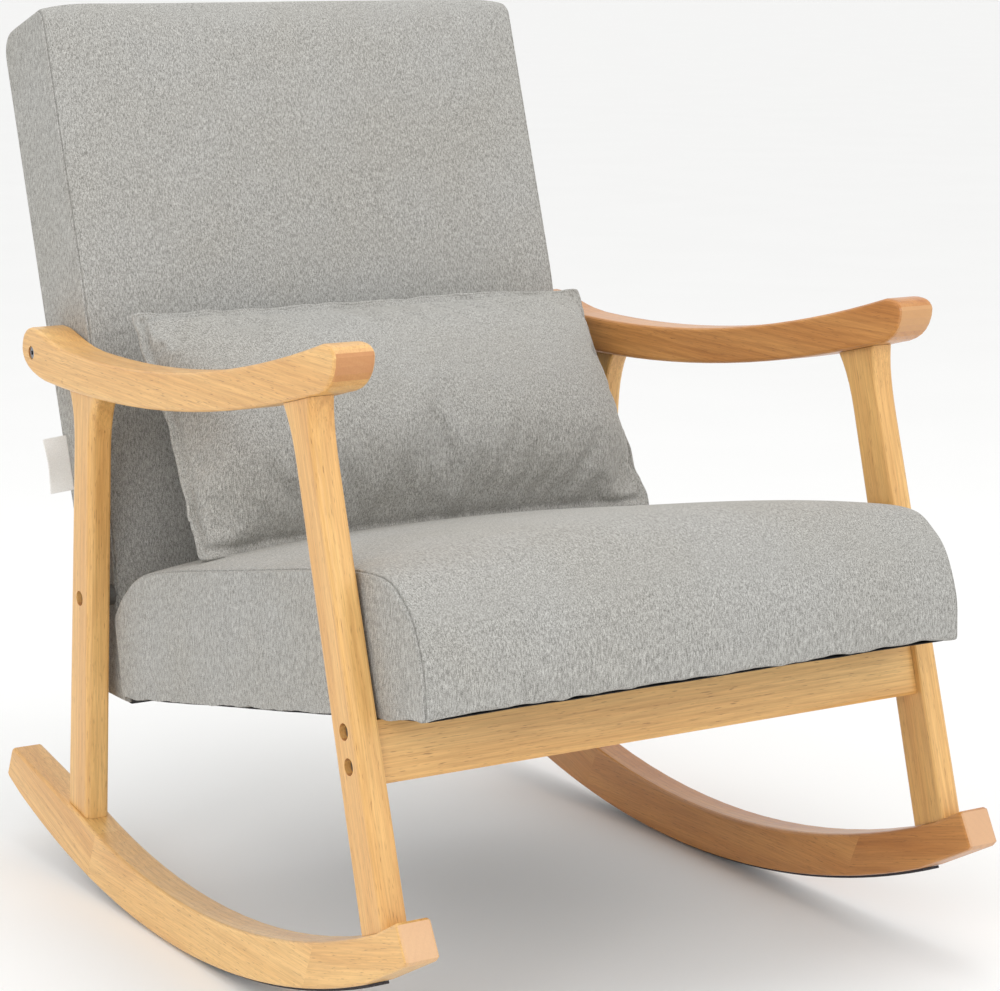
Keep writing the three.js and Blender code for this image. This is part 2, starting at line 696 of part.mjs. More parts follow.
function backCoverSolid() {
  const outer = plate(backProfile(0, 0, 0, 0), -backHalf, backHalf, 5, 2);
  const hollow = plate(
    backProfile(COVER_WALL, COVER_WALL, -40, COVER_WALL),
    -backHalf + COVER_WALL, backHalf - COVER_WALL, 1, 1);
  return outer.subtract(hollow).subtract(throat());
}

function backFoamSolid() {
  const inset = COVER_WALL + CLEARANCE;
  const body = plate(
    backProfile(inset, inset, FOAM_FROM + 42, inset), -backHalf + inset, backHalf - inset, 5, 1);
  const behind = (h, pad) => onBack(backDepth(h) - pad + GAP, h);
  const top = BACK_LENGTH - TOP_PAD - COVER_WALL;
  const frame = plate(
    [
      onBack(-40, FOAM_FROM - 60),
      behind(FOAM_FROM - 60, 0),
      behind(FOAM_FROM, BARE_PAD),
      behind(FOAM_FULL, BACK_PAD),
      behind(BACK_LUMBAR_LINE, BACK_PAD),
      behind(top - 30, BACK_PAD),
      onBack(BACK_THICKNESS - BACK_PAD - 24 + GAP, top + GAP),
      onBack(-40, top + GAP),
    ],
    -backHalf - 10, backHalf + 10);
  return body.subtract(frame);
}

// Black cloth stapled under the seat frame and on under the foot of the backrest.
function dustClothSolid() {
  const sheet = (drop) => {
    const level = backFootZ - drop;
    return [
      onSeat(SEAT_DEPTH - DUST_FRONT_INSET, -drop),
      onSeat(DUST_STEP, -drop),
      [SEAT_REAR_Y - GAP, level],
      [backFootY - DUST_INSET, level],
    ];
  };
  const under = sheet(DUST_DROP);
  const over = sheet(DUST_DROP - DUST_THICKNESS).reverse();
  return plate([...under, ...over], -backHalf + DUST_INSET, backHalf - DUST_INSET);
}

// ---------------------------------------------------------------- bolts into the frame

const rearBoltY = rearLeg.centre(REAR_BOLT_HEIGHT);
const rearBoltHeadX = railBoltHeadX;
const spacerOuterX = legInnerX - GAP;
const spacerInnerX = backHalf + GAP;
const armBoltY = ARM_REAR_TIP - ARM_BOLT_INSET;
const armBoltZ = (armUnder(armBoltY) + armTop(armBoltY) + ARM_HORN_RISE) / 2 - 1;
const armBoltHeadX = outerX - ARM_COUNTERBORE_DEPTH + BOLT_HEAD_HEIGHT + GAP;

const rearBoltLength = rearBoltHeadX - BOLT_HEAD_HEIGHT - plyOuterX + INSERT_LENGTH - 2;
const armBoltLength = armBoltHeadX - BOLT_HEAD_HEIGHT - plyOuterX + INSERT_LENGTH - 2;

function insertSolid(y, z) {
  const outer = plyOuterX - GAP;
  return rodX(INSERT_RADIUS, outer - INSERT_LENGTH, outer, y, z, 12)
    .subtract(rodX(BOLT_RADIUS + CLEARANCE, outer - 30, outer + 5, y, z, 12));
}

const insertHole = (y, z) => rodX(INSERT_RADIUS + CLEARANCE, plyInnerX - 5, plyOuterX + 5, y, z, 12);

function spacerSolid() {
  return rodX(SPACER_RADIUS, spacerInnerX, spacerOuterX, rearBoltY, REAR_BOLT_HEIGHT, 20)
    .subtract(rodX(
      BOLT_RADIUS + CLEARANCE, spacerInnerX - 5, spacerOuterX + 5, rearBoltY, REAR_BOLT_HEIGHT, 12));
}

// Clearance holes for the frame bolts, through covers and foam, on both sides.
function frameBoltHoles() {
  const holes = [[rearBoltY, REAR_BOLT_HEIGHT], [armBoltY, armBoltZ]];
  return holes.flatMap(([y, z]) => [-1, 1].map((side) => {
    const a = side * (plyInnerX - 2);
    const b = side * (backHalf + 20);
    return rodX(BOLT_RADIUS + CLEARANCE, Math.min(a, b), Math.max(a, b), y, z, 12);
  }));
}

// ---------------------------------------------------------------- pillow and tag

// A cushion lying in its own (X, Y) plane: a thin rim, swollen faces, edges drawn in between
// the corners.
function cushionGeometry(width, height, thickness, rim) {
  const geometry = new THREE.BoxGeometry(width, height, rim, 14, 8, 1);
  const place = geometry.attributes.position;
  const swell = (thickness - rim) / 2;
  for (let i = 0; i < place.count; i += 1) {
    const u = (2 * place.getX(i)) / width;
    const v = (2 * place.getY(i)) / height;
    const rise = swell * Math.sqrt((1 - u ** 4) * (1 - Math.abs(v) ** 2.6));
    place.setZ(i, place.getZ(i) + Math.sign(place.getZ(i)) * rise);
    place.setX(i, place.getX(i) * (1 - PILLOW_DRAW_IN * (1 - v * v)));
    place.setY(i, place.getY(i) * (1 - PILLOW_DRAW_IN * (1 - u * u)));
  }
  return geometry;
}

// Stands the cushion up on its lower seam and leans it back.
function placedPillow(width, height, thickness, rim) {
  return solidFrom(
    cushionGeometry(width, height, thickness, rim)
      .rotateX(Math.PI / 2)
      .translate(0, 0, PILLOW_HEIGHT / 2)
      .rotateX(-rad(PILLOW_LEAN))
      .translate(0, PILLOW_FOOT_Y, PILLOW_FOOT_Z));
}

function pillowSolids() {
  const wall = 2;
  const hem = 16;
  const inner = PILLOW_THICKNESS - 2 * wall;
  const room = (take, thickness, rim) =>
    placedPillow(pillowWidth - take, PILLOW_HEIGHT - take, thickness, rim);
  const whole = room(0, PILLOW_THICKNESS, PILLOW_RIM);
  const hollow = room(hem, inner, PILLOW_RIM - 2 * wall);
  const filling = room(hem + 2, inner - 2, PILLOW_RIM - 2 * wall - 1);
  const zip = new THREE.BoxGeometry(pillowWidth * 0.55, 3, hem * 1.6);
  zip.rotateX(-rad(PILLOW_LEAN)).translate(0, PILLOW_FOOT_Y, PILLOW_FOOT_Z);
  return [whole.subtract(hollow).subtract(solidFrom(zip)), filling];
}

// Plain tag that stands out of the backrest's side on the sitter's right.
function tagSolid() {
  const [y, z] = onBack(TAG_INSET, TAG_HEIGHT);
  const tag = new THREE.BoxGeometry(TAG_WIDTH, TAG_THICKNESS, TAG_LENGTH);
  tag.rotateX(-rad(BACK_LEAN));
  tag.translate(-(backHalf + GAP + TAG_WIDTH / 2), y, z);
  return solidFrom(tag);
}

// ---------------------------------------------------------------- assembly

const chair = new THREE.Group();

function sideSolids() {
  const dowels = dowelPlaces();
  const atFoot = dowels.filter((d) => d.name.includes("_foot_"));
  const atArm = dowels.filter((d) => d.name.includes("_arm_"));
  const trims = legTrims();
  const railBolts = railBoltPlaces();
  const legFaceX = legInnerX + LEG_THICKNESS;
  const legBoltHoles = {
    front_leg: railBolts.map((b) =>
      boltHole(legFaceX, LEG_COUNTERBORE_DEPTH, COUNTERBORE_RADIUS, legInnerX - 10, b.y, b.z)),
    rear_leg: [boltHole(
      legFaceX, LEG_COUNTERBORE_DEPTH, COUNTERBORE_RADIUS, legInnerX - 10, rearBoltY,
      REAR_BOLT_HEIGHT)],
  };
  const armHole = boltHole(
    outerX, ARM_COUNTERBORE_DEPTH, ARM_COUNTERBORE_RADIUS, armInnerX - 10, armBoltY, armBoltZ);
  const legs = [frontLeg, rearLeg].map((leg) => {
    const own = dowels.filter((d) => d.name.startsWith(leg.name));
    const cuts = [...trims, ...own.map(dowelHole), ...legBoltHoles[leg.name]];
    return [leg.name, without(legBlank(leg), cuts), WOOD];
  });
  return [
    ["rocker", without(rockerSolid(), atFoot.map(dowelHole)), WOOD],
    ["rocker_strip", stripSolid(), FELT],
    ["armrest", without(armBlank(), [...atArm.map(dowelHole), armHole]), WOOD],
    ...legs,
    ...dowels.map((d) => [d.name, dowelSolid(d), DOWEL_WOOD]),
    ...railBolts.flatMap((b, i) => [
      [`rail_bolt_${i + 1}`, boltSolid(railBoltHeadX, RAIL_BOLT_LENGTH, b.y, b.z), STEEL],
      [`rail_barrel_nut_${i + 1}`, barrelSolid(b), ZINC],
    ]),
    ["rear_leg_bolt", boltSolid(rearBoltHeadX, rearBoltLength, rearBoltY, REAR_BOLT_HEIGHT), STEEL],
    ["armrest_bolt", boltSolid(armBoltHeadX, armBoltLength, armBoltY, armBoltZ), STEEL],
    ["rear_leg_spacer", spacerSolid(), SPACER_BEECH],
    ["rear_leg_insert", insertSolid(rearBoltY, REAR_BOLT_HEIGHT), ZINC],
    ["armrest_insert", insertSolid(armBoltY, armBoltZ), ZINC],
    [
      "frame_side",
      without(plate(frameSideOutline().reverse(), plyInnerX, plyOuterX), [
        insertHole(rearBoltY, REAR_BOLT_HEIGHT), insertHole(armBoltY, armBoltZ)]),
      PLYWOOD,
    ],
  ];
}

// The left side is modelled; the right side is its mirror image.
function addSides() {
  const pieces = sideSolids();
  for (const [side, scale] of [["left", 1], ["right", -1]]) {
    const half = new THREE.Group();
    half.scale.x = scale;
    pieces.forEach(([name, solid, finish]) => half.add(mesh(`${name}_${side}`, solid, finish)));
    chair.add(half);
  }
}

function addFrontRail() {
  const cuts = railBoltPlaces().flatMap((b) => {
    const bore = rodX(BOLT_RADIUS + CLEARANCE, barrelX - 20, railEndX + 5, b.y, b.z, 12);
    const cut = bore.add(barrelHole(b));
    return [cut, cut.mirror([1, 0, 0])];
  });
  chair.add(mesh(
    "front_rail", without(plate(railOutline(), -railEndX, railEndX), cuts), WOOD_RAIL));
}

function addInnerFrame() {
  const bars = {
    seat_front_bar: seatBarCorners(boardFront - 40, 6, RAIL_STOCK, FRAME_DEPTH - 30),
    seat_rear_bar: seatBarCorners(12, 6, RAIL_STOCK, FRAME_DEPTH - 10),
    back_lumbar_bar: backBarCorners(COVER_WALL + 2, 300, RAIL_STOCK, RAIL_STOCK * 1.5),
    back_top_bar: backBarCorners(
      COVER_WALL + 2, BACK_LENGTH - TOP_PAD - 60, RAIL_STOCK, RAIL_STOCK * 1.5),
  };
  for (const [name, corners] of Object.entries(bars))
    chair.add(mesh(name, crossBar(corners), PLYWOOD));
  chair.add(mesh("seat_board", seatBoardSolid(), PLYWOOD));
}

function addUpholstery() {
  const holes = frameBoltHoles();
  chair.add(mesh("seat_foam", seatFoamSolid(), FOAM));
  chair.add(mesh("seat_cover", seatCoverSolid(), LINEN));
  chair.add(mesh("dust_cloth", dustClothSolid(), DUST_CLOTH));
  chair.add(mesh("back_foam", without(backFoamSolid(), holes), FOAM));
  chair.add(mesh("back_cover", without(backCoverSolid(), holes), LINEN));
  chair.add(mesh("side_tag", tagSolid(), TAG_CLOTH));
  const [cover, filling] = pillowSolids();
  chair.add(mesh("pillow_cover", cover, LINEN));
  chair.add(mesh("pillow_filling", filling, FILLING));
}

addSides();
addFrontRail();
addInnerFrame();
addUpholstery();

const box = new THREE.Box3().setFromObject(chair);
chair.position.y = -(box.min.y + box.max.y) / 2;

export default chair;
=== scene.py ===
import logging
import math
from dataclasses import dataclass, field
from enum import Enum
from typing import Callable

import bmesh
import bpy
import numpy as np
from mathutils import Euler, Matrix, Vector, kdtree, noise


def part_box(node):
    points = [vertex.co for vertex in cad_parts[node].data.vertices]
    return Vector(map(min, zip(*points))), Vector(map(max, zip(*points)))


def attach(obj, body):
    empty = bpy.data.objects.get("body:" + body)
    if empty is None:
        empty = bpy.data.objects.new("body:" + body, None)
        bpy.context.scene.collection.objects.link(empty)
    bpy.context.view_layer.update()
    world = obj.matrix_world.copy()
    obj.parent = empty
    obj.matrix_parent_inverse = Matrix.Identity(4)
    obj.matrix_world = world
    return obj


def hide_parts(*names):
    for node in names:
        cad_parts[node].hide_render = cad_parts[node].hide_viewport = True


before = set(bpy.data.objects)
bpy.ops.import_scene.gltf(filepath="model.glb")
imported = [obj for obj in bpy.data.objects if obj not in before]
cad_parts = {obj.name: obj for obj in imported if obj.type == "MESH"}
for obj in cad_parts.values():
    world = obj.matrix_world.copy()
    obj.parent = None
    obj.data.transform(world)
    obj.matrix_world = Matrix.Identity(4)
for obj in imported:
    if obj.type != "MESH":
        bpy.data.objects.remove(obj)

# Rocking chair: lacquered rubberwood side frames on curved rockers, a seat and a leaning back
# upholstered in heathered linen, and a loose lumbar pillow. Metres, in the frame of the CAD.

LOG = logging.getLogger("rocking_chair")
MM = 0.001
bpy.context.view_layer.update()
STEPS_PER_SPAN = 24  # how finely a smooth line is drawn between two of its points


# ---------------------------------------------------------------- shared helpers

def tone(hex_code: str) -> tuple[float, float, float, float]:
    """Turns an sRGB hex colour into linear RGBA.

    Args:
        hex_code: the colour as "#rrggbb".

    Returns:
        Linear red, green, blue and an alpha of one.
    """
    parts = [int(hex_code[i:i + 2], 16) / 255 for i in (1, 3, 5)]
    linear = [p / 12.92 if p <= 0.04045 else ((p + 0.055) / 1.055) ** 2.4 for p in parts]
    return (*linear, 1.0)


def grey(value: float) -> tuple[float, float, float, float]:
    """Gives a linear grey as RGBA."""
    return value, value, value, 1.0


def add_node(tree: bpy.types.NodeTree, kind: str, links: dict | None = None,
             ramp: list[tuple[float, tuple]] | None = None, **settings) -> bpy.types.Node:
    """Adds one shader node with its settings and links.

    Args:
        tree: the node tree that gets the node.
        kind: the node's type name, without the leading "ShaderNode".
        links: input name or index, to a value or to another node's output socket.
        ramp: for a colour ramp, its stops as (position, linear colour).
        **settings: properties of the node itself.

    Returns:
        The new node.
    """
    node = tree.nodes.new("ShaderNode" + kind)
    for key, value in settings.items():
        setattr(node, key, value)
    for key, value in (links or {}).items():
        if isinstance(value, bpy.types.NodeSocket):
            tree.links.new(value, node.inputs[key])
        else:
            node.inputs[key].default_value = value
    if ramp:
        stops = node.color_ramp.elements
        while len(stops) < len(ramp):
            stops.new(0.5)
        for stop, (position, colour) in zip(stops, ramp):
            stop.position, stop.color = position, colour
    return node


def blank_material(name: str) -> tuple[bpy.types.Material, bpy.types.NodeTree]:
    """Makes a node material with an empty tree.

    Args:
        name: the material's name.

    Returns:
        The material and its node tree.
    """
    material = bpy.data.materials.new(name)
    material.use_nodes = True
    material.node_tree.nodes.clear()
    return material, material.node_tree


def finish_material(tree: bpy.types.NodeTree, shader: bpy.types.Node) -> None:
    """Links a shader to a new material output.

    Args:
        tree: the material's node tree.
        shader: the shader node that ends it.
    """
    add_node(tree, "OutputMaterial", {"Surface": shader.outputs[0]})


def dress(obj: bpy.types.Object, material: bpy.types.Material) -> None:
    """Gives an object one material on all its faces.

    Args:
        obj: the mesh object.
        material: the material that it wears.
    """
    obj.data.materials.clear()
    obj.data.materials.append(material)


def declare(obj: bpy.types.Object, material: bpy.types.Material, body: str,
            nodes: tuple[str, ...] = (), smooth: bool = True) -> None:
    """Dresses a finished piece, hangs it on its CAD body and hides the CAD nodes it stands for.

    Args:
        obj: the piece.
        material: what it wears.
        body: the CAD body that it rides on.
        nodes: the CAD nodes that it stands for.
        smooth: whether its faces are shaded as one surface.
    """
    if smooth:
        for face in obj.data.polygons:
            face.use_smooth = True
    dress(obj, material)
    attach(obj, body)
    if nodes:
        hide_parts(*nodes)


def grid_faces(rows: int, columns: int) -> list[tuple[int, int, int, int]]:
    """Lists the quads of a grid of points that are numbered row by row.

    Args:
        rows: how many quads one way.
        columns: how many quads the other way.

    Returns:
        The quads as vertex indices.
    """
    wide = columns + 1
    return [(a, a + 1, a + wide + 1, a + wide)
            for r in range(rows) for a in range(r * wide, r * wide + columns)]


def ring_faces(rings: int, count: int, closed: bool = False) -> list[tuple[int, int, int, int]]:
    """Lists the quads between rings of points that are numbered ring by ring.

    Args:
        rings: how many rings there are.
        count: how many points a ring has.
        closed: whether the last ring joins the first one.

    Returns:
        The quads as vertex indices.
    """
    faces = []
    for r in range(rings if closed else rings - 1):
        a, b = r * count, (r + 1) % rings * count
        faces += [(a + i, a + (i + 1) % count, b + (i + 1) % count, b + i) for i in range(count)]
    return faces


def nearest(points: list) -> kdtree.KDTree:
    """Makes a tree that finds the nearest of some points.

    Args:
        points: the points.

    Returns:
        The tree, ready to search.
    """
    tree = kdtree.KDTree(len(points))
    for index, point in enumerate(points):
        tree.insert(point, index)
    tree.balance()
    return tree


def smooth_line(points: list[tuple[float, float]], count: int) -> list[tuple[float, float]]:
    """Draws a smooth line through points, sampled at even steps.

    Args:
        points: the points that the line passes through.
        count: how many samples it gets.

    Returns:
        The sampled points, both ends included.
    """
    ends = [points[0], *points, points[-1]]
    dense: list[tuple[float, float]] = []
    for a, b, c, d in zip(ends, ends[1:], ends[2:], ends[3:]):
        for k in range(STEPS_PER_SPAN):
            t = k / STEPS_PER_SPAN
            dense.append(tuple(
                0.5 * (2 * b[i] + (c[i] - a[i]) * t + (2 * a[i] - 5 * b[i] + 4 * c[i] - d[i]) * t ** 2
                       + (3 * b[i] - a[i] - 3 * c[i] + d[i]) * t ** 3) for i in (0, 1)))
    dense.append(points[-1])
    xy = np.array(dense)
    run = np.concatenate([[0], np.cumsum(np.linalg.norm(np.diff(xy, axis=0), axis=1))])
    at = np.linspace(0, run[-1], count)
    return list(zip(np.interp(at, run, xy[:, 0]), np.interp(at, run, xy[:, 1])))


def coordinates(mesh: bpy.types.Mesh) -> np.ndarray:
    """Reads a mesh's vertices as an array of rows.

    Args:
        mesh: the mesh.

    Returns:
        One row of x, y and z for each vertex.
    """
    flat = np.zeros(len(mesh.vertices) * 3)
    mesh.vertices.foreach_get("co", flat)
    return flat.reshape(-1, 3)


def set_coordinates(mesh: bpy.types.Mesh, rows: np.ndarray) -> None:
    """Writes an array of rows back to a mesh's vertices.

    Args:
        mesh: the mesh.
        rows: one row of x, y and z for each vertex.
    """
    mesh.vertices.foreach_set("co", rows.astype(np.float32).ravel())
    mesh.update()


def new_object(name: str, mesh: bpy.types.Mesh) -> bpy.types.Object:
    """Links a mesh to the scene as an object.

    Args:
        name: the object's name.
        mesh: its mesh.

    Returns:
        The new object.
    """
    obj = bpy.data.objects.new(name, mesh)
    bpy.context.scene.collection.objects.link(obj)
    return obj


def mesh_from(name: str, points: list, faces: list) -> bpy.types.Mesh:
    """Makes a mesh from points and faces, with its normals facing out.

    Args:
        name: the mesh's name.
        points: its vertices.
        faces: its faces as vertex indices.

    Returns:
        The mesh.
    """
    mesh = bpy.data.meshes.new(name)
    mesh.from_pydata([tuple(p) for p in points], [], faces)
    mesh.validate()
    work = bmesh.new()
    work.from_mesh(mesh)
    bmesh.ops.recalc_face_normals(work, faces=work.faces)
    work.to_mesh(mesh)
    work.free()
    return mesh


def apply_modifiers(obj: bpy.types.Object) -> None:
    """Replaces an object's mesh by what its modifiers make of it.

    Args:
        obj: the mesh object.
    """
    graph = bpy.context.evaluated_depsgraph_get()
    made = bpy.data.meshes.new_from_object(obj.evaluated_get(graph), depsgraph=graph)
    obj.modifiers.clear()
    obj.data = made


def grain_of(point: np.ndarray, scale: float, seed: float = 0.0) -> float:
    """Gives smooth noise at a point.

    Args:
        point: where it is read, in metres.
        scale: the size of its waves, in metres.
        seed: which noise it is.

    Returns:
        A value between about -1 and 1.
    """
    return noise.noise(Vector(point) / scale + Vector((seed, seed * 1.7, seed * 0.3)))


# ---------------------------------------------------------------- finishes

class GrainRun(Enum):
    """How the grain runs through a board."""

    STRAIGHT = "straight"
    JOINTED = "jointed"


@dataclass(frozen=True)
class LacqueredWood:
    """Rubberwood, planed, sanded and sealed with a satin lacquer.

    Wide pale honey boards with thin brown growth lines, and short dark pores that all point
    along the grain. The lacquer gives a soft, broken highlight.
    """

    name: str
    along: tuple[float, float, float]
    pale: str = "#eabe79"
    body: str = "#dba761"
    late: str = "#bd8244"
    pore: str = "#7d4d22"
    end: str = "#b87b4c"
    run: GrainRun = GrainRun.STRAIGHT
    pith: tuple[float, float, float] = (0.0, 0.062, -0.048)
    ring_spacing_mm: float = 7.0
    pore_length_mm: float = 13.0
    pore_width_mm: float = 0.8  # real pores are about 0.2 mm; drawn coarser so that they show
    roughness: float = 0.36
    seed: float = 0.0
    glue_slant: float = 0.45  # a jointed board's glue lines lean forward by this share of height
    glue_lines: tuple[float, float] = (-0.262, 0.215)
    board_tilts: tuple[float, float] = (0.27, -0.3)

    def place(self, tree: bpy.types.NodeTree) -> bpy.types.NodeSocket:
        """Turns the object's own space so that X runs along the grain.

        Args:
            tree: the material's node tree.

        Returns:
            The turned coordinates.
        """
        space = add_node(tree, "TexCoord").outputs["Object"]
        if self.run is GrainRun.JOINTED:
            # three boards glued on a slant, each with its own straight grain
            depth = add_node(tree, "SeparateXYZ", {0: space})
            slanted = add_node(tree, "Math", {0: depth.outputs["Z"], 1: self.glue_slant,
                                              2: depth.outputs["Y"]}, operation="MULTIPLY_ADD")
            front = add_node(tree, "Math", {0: slanted.outputs[0], 1: self.glue_lines[0]},
                             operation="LESS_THAN")
            rear = add_node(tree, "Math", {0: slanted.outputs[0], 1: self.glue_lines[1]},
                            operation="GREATER_THAN")
            tilt = add_node(tree, "Math", {0: front.outputs[0], 1: self.board_tilts[0]},
                            operation="MULTIPLY")
            tilt = add_node(tree, "Math", {0: rear.outputs[0], 1: self.board_tilts[1],
                                           2: tilt.outputs[0]}, operation="MULTIPLY_ADD")
            shift = add_node(tree, "CombineXYZ", {"Z": front.outputs[0], "X": rear.outputs[0]})
            turned = add_node(tree, "VectorRotate", {"Vector": space, "Angle": tilt.outputs[0]},
                              rotation_type="X_AXIS")
            space = add_node(tree, "VectorMath", {0: shift.outputs[0], 1: (0.31, 0.13, 0.23),
                                                  2: turned.outputs[0]},
                             operation="MULTIPLY_ADD").outputs[0]
        turn = Vector(self.along).normalized().rotation_difference(Vector((1, 0, 0))).to_euler()
        return add_node(tree, "Mapping", {"Vector": space, "Rotation": turn,
                                          "Location": (self.seed, self.pith[1], self.pith[2])},
                        vector_type="POINT").outputs[0]

    def build(self) -> bpy.types.Material:
        """Builds the material.

        Returns:
            The lacquered wood.
        """
        material, tree = blank_material(self.name)
        at = self.place(tree)
        # growth rings, shaken by a slow wander
        wander = add_node(tree, "TexNoise", {
            "Vector": add_node(tree, "Mapping", {"Vector": at, "Scale": (5, 22, 22)}).outputs[0],
            "Scale": 1.0, "Detail": 3.0, "Roughness": 0.5})
        shaken = add_node(tree, "VectorMath", {
            0: wander.outputs["Color"], 1: (0.0, 0.012, 0.012), 2: at}, operation="MULTIPLY_ADD")
        rings = add_node(tree, "TexWave", {
            "Vector": shaken.outputs[0], "Scale": 0.314 / (self.ring_spacing_mm * MM),
            "Distortion": 0.5, "Detail": 1.0, "Detail Scale": 1.0},
            wave_type="RINGS", rings_direction="X", wave_profile="SIN")
        # fine fibres along the grain, and a broad change of tone from board to board
        fibre = add_node(tree, "TexNoise", {
            "Vector": add_node(tree, "Mapping", {"Vector": at, "Scale": (18, 620, 620)}).outputs[0],
            "Scale": 1.0, "Detail": 5.0, "Roughness": 0.62})
        board = add_node(tree, "TexNoise", {
            "Vector": add_node(tree, "Mapping", {"Vector": at, "Scale": (2.4, 30, 30)}).outputs[0],
            "Scale": 1.0, "Detail": 2.0})
        base = add_node(tree, "ValToRGB", {0: board.outputs[0]}, ramp=[
            (0.32, tone(self.pale)), (0.66, tone(self.body))])
        ringed = add_node(tree, "ValToRGB", {0: rings.outputs["Fac"]}, ramp=[
            (0.0, grey(0)), (0.7, grey(0.06)), (1.0, grey(0.24))])
        coloured = add_node(tree, "MixRGB", {
            0: ringed.outputs[0], 1: base.outputs[0], 2: tone(self.late)})
        streak = add_node(tree, "ValToRGB", {0: fibre.outputs[0]}, ramp=[
            (0.38, (0.80, 0.76, 0.70, 1)), (0.62, grey(1.06))])
        streaked = add_node(tree, "MixRGB", {
            0: 0.75, 1: coloured.outputs[0], 2: streak.outputs[0]}, blend_type="MULTIPLY")
        # open pores, long and thin
        long, thin = 1 / (self.pore_length_mm * MM), 1 / (self.pore_width_mm * MM)
        cells = add_node(tree, "TexNoise", {
            "Vector": add_node(tree, "Mapping", {
                "Vector": at, "Scale": (long, thin, thin)}).outputs[0],
            "Scale": 1.0, "Detail": 1.0, "Roughness": 0.4})
        pores = add_node(tree, "ValToRGB", {0: cells.outputs[0]}, ramp=[
            (0.655, grey(0)), (0.76, grey(0.62))])
        pored = add_node(tree, "MixRGB", {
            0: pores.outputs[0], 1: streaked.outputs[0], 2: tone(self.pore)})
        # end grain is darker, as it drinks more lacquer
        facing = add_node(tree, "VectorMath", {
            0: add_node(tree, "TexCoord").outputs["Normal"], 1: Vector(self.along).normalized()},
            operation="DOT_PRODUCT")
        across = add_node(tree, "Math", {0: facing.outputs["Value"]}, operation="ABSOLUTE")
        ended = add_node(tree, "ValToRGB", {0: across.outputs[0]}, ramp=[
            (0.62, grey(0)), (0.86, grey(0.82))])
        colour = add_node(tree, "MixRGB", {
            0: ended.outputs[0], 1: pored.outputs[0], 2: tone(self.end)})
        rough = add_node(tree, "MapRange", {
            0: fibre.outputs[0], "To Min": self.roughness - 0.05, "To Max": self.roughness + 0.12})
        height = add_node(tree, "Math", {0: pores.outputs[0], 1: -0.8, 2: fibre.outputs[0]},
                          operation="MULTIPLY_ADD")
        bump = add_node(tree, "Bump", {
            "Height": height.outputs[0], "Strength": 0.12, "Distance": 0.0004})
        shader = add_node(tree, "BsdfPrincipled", {
            "Base Color": colour.outputs[0], "Roughness": rough.outputs[0],
            "Normal": bump.outputs[0], "IOR": 1.5, "Coat Weight": 0.25, "Coat Roughness": 0.22})
        finish_material(tree, shader)
        return material


@dataclass(frozen=True)
class HeatheredLinen:
    """Linen-look polyester, woven plain from heathered grey yarns.

    A soft grey made of light and dark flecks, with thicker yarns that show as short streaks
    along the warp, and a faint nap at grazing angles.
    """

    name: str = "heathered_linen_plain_weave"
    dark: str = "#6b6a66"
    mid: str = "#9f9e9a"
    light: str = "#cbcac6"
    fleck_mm: float = 0.8  # yarns are about 0.6 mm apart; drawn a little coarser so that they show
    slub_length_mm: float = 5.0
    roughness: float = 0.92

    def build(self) -> bpy.types.Material:
        """Builds the material.

        Returns:
            The woven linen.
        """
        material, tree = blank_material(self.name)
        coord = add_node(tree, "TexCoord")
        at = coord.outputs["Object"]
        fine = 1 / (self.fleck_mm * MM)
        slub = 1 / (self.slub_length_mm * MM)
        fleck = add_node(tree, "TexNoise", {"Vector": at, "Scale": fine, "Detail": 2.0,
                                            "Roughness": 0.65})
        # thick yarns run up the upright faces, and from front to rear on the flat ones
        upright, lying = (add_node(tree, "TexNoise", {
            "Vector": add_node(tree, "Mapping", {"Vector": at, "Scale": scale}).outputs[0],
            "Scale": 1.0, "Detail": 2.0}) for scale in (
                (fine * 0.7, fine * 0.55, slub), (fine * 0.7, slub, fine * 0.7)))
        up = add_node(tree, "SeparateXYZ", {0: coord.outputs["Normal"]})
        flat = add_node(tree, "MapRange", {0: up.outputs["Z"], "From Min": 0.45, "From Max": 0.8})
        slubs = add_node(tree, "MixRGB", {
            0: flat.outputs[0], 1: upright.outputs["Color"], 2: lying.outputs["Color"]})
        both = add_node(tree, "MixRGB", {0: 0.42, 1: fleck.outputs["Color"], 2: slubs.outputs[0]})
        value = add_node(tree, "RGBToBW", {0: both.outputs[0]})
        yarn = add_node(tree, "ValToRGB", {0: value.outputs[0]}, ramp=[
            (0.38, tone(self.dark)), (0.5, tone(self.mid)), (0.62, tone(self.light))])
        broad = add_node(tree, "TexNoise", {"Vector": at, "Scale": 7.0, "Detail": 2.0})
        cast = add_node(tree, "ValToRGB", {0: broad.outputs[0]}, ramp=[
            (0.35, (0.965, 0.955, 0.935, 1)), (0.65, grey(1.0))])
        colour = add_node(tree, "MixRGB", {0: 1.0, 1: yarn.outputs[0], 2: cast.outputs[0]},
                          blend_type="MULTIPLY")
        bump = add_node(tree, "Bump", {"Height": value.outputs[0], "Strength": 0.35,
                                       "Distance": 0.0006})
        shader = add_node(tree, "BsdfPrincipled", {
            "Base Color": colour.outputs[0], "Roughness": self.roughness,
            "Normal": bump.outputs[0], "Sheen Weight": 0.18, "Sheen Roughness": 0.45,
            "Sheen Tint": tone("#f2efe8"), "Specular IOR Level": 0.2})
        finish_material(tree, shader)
        return material


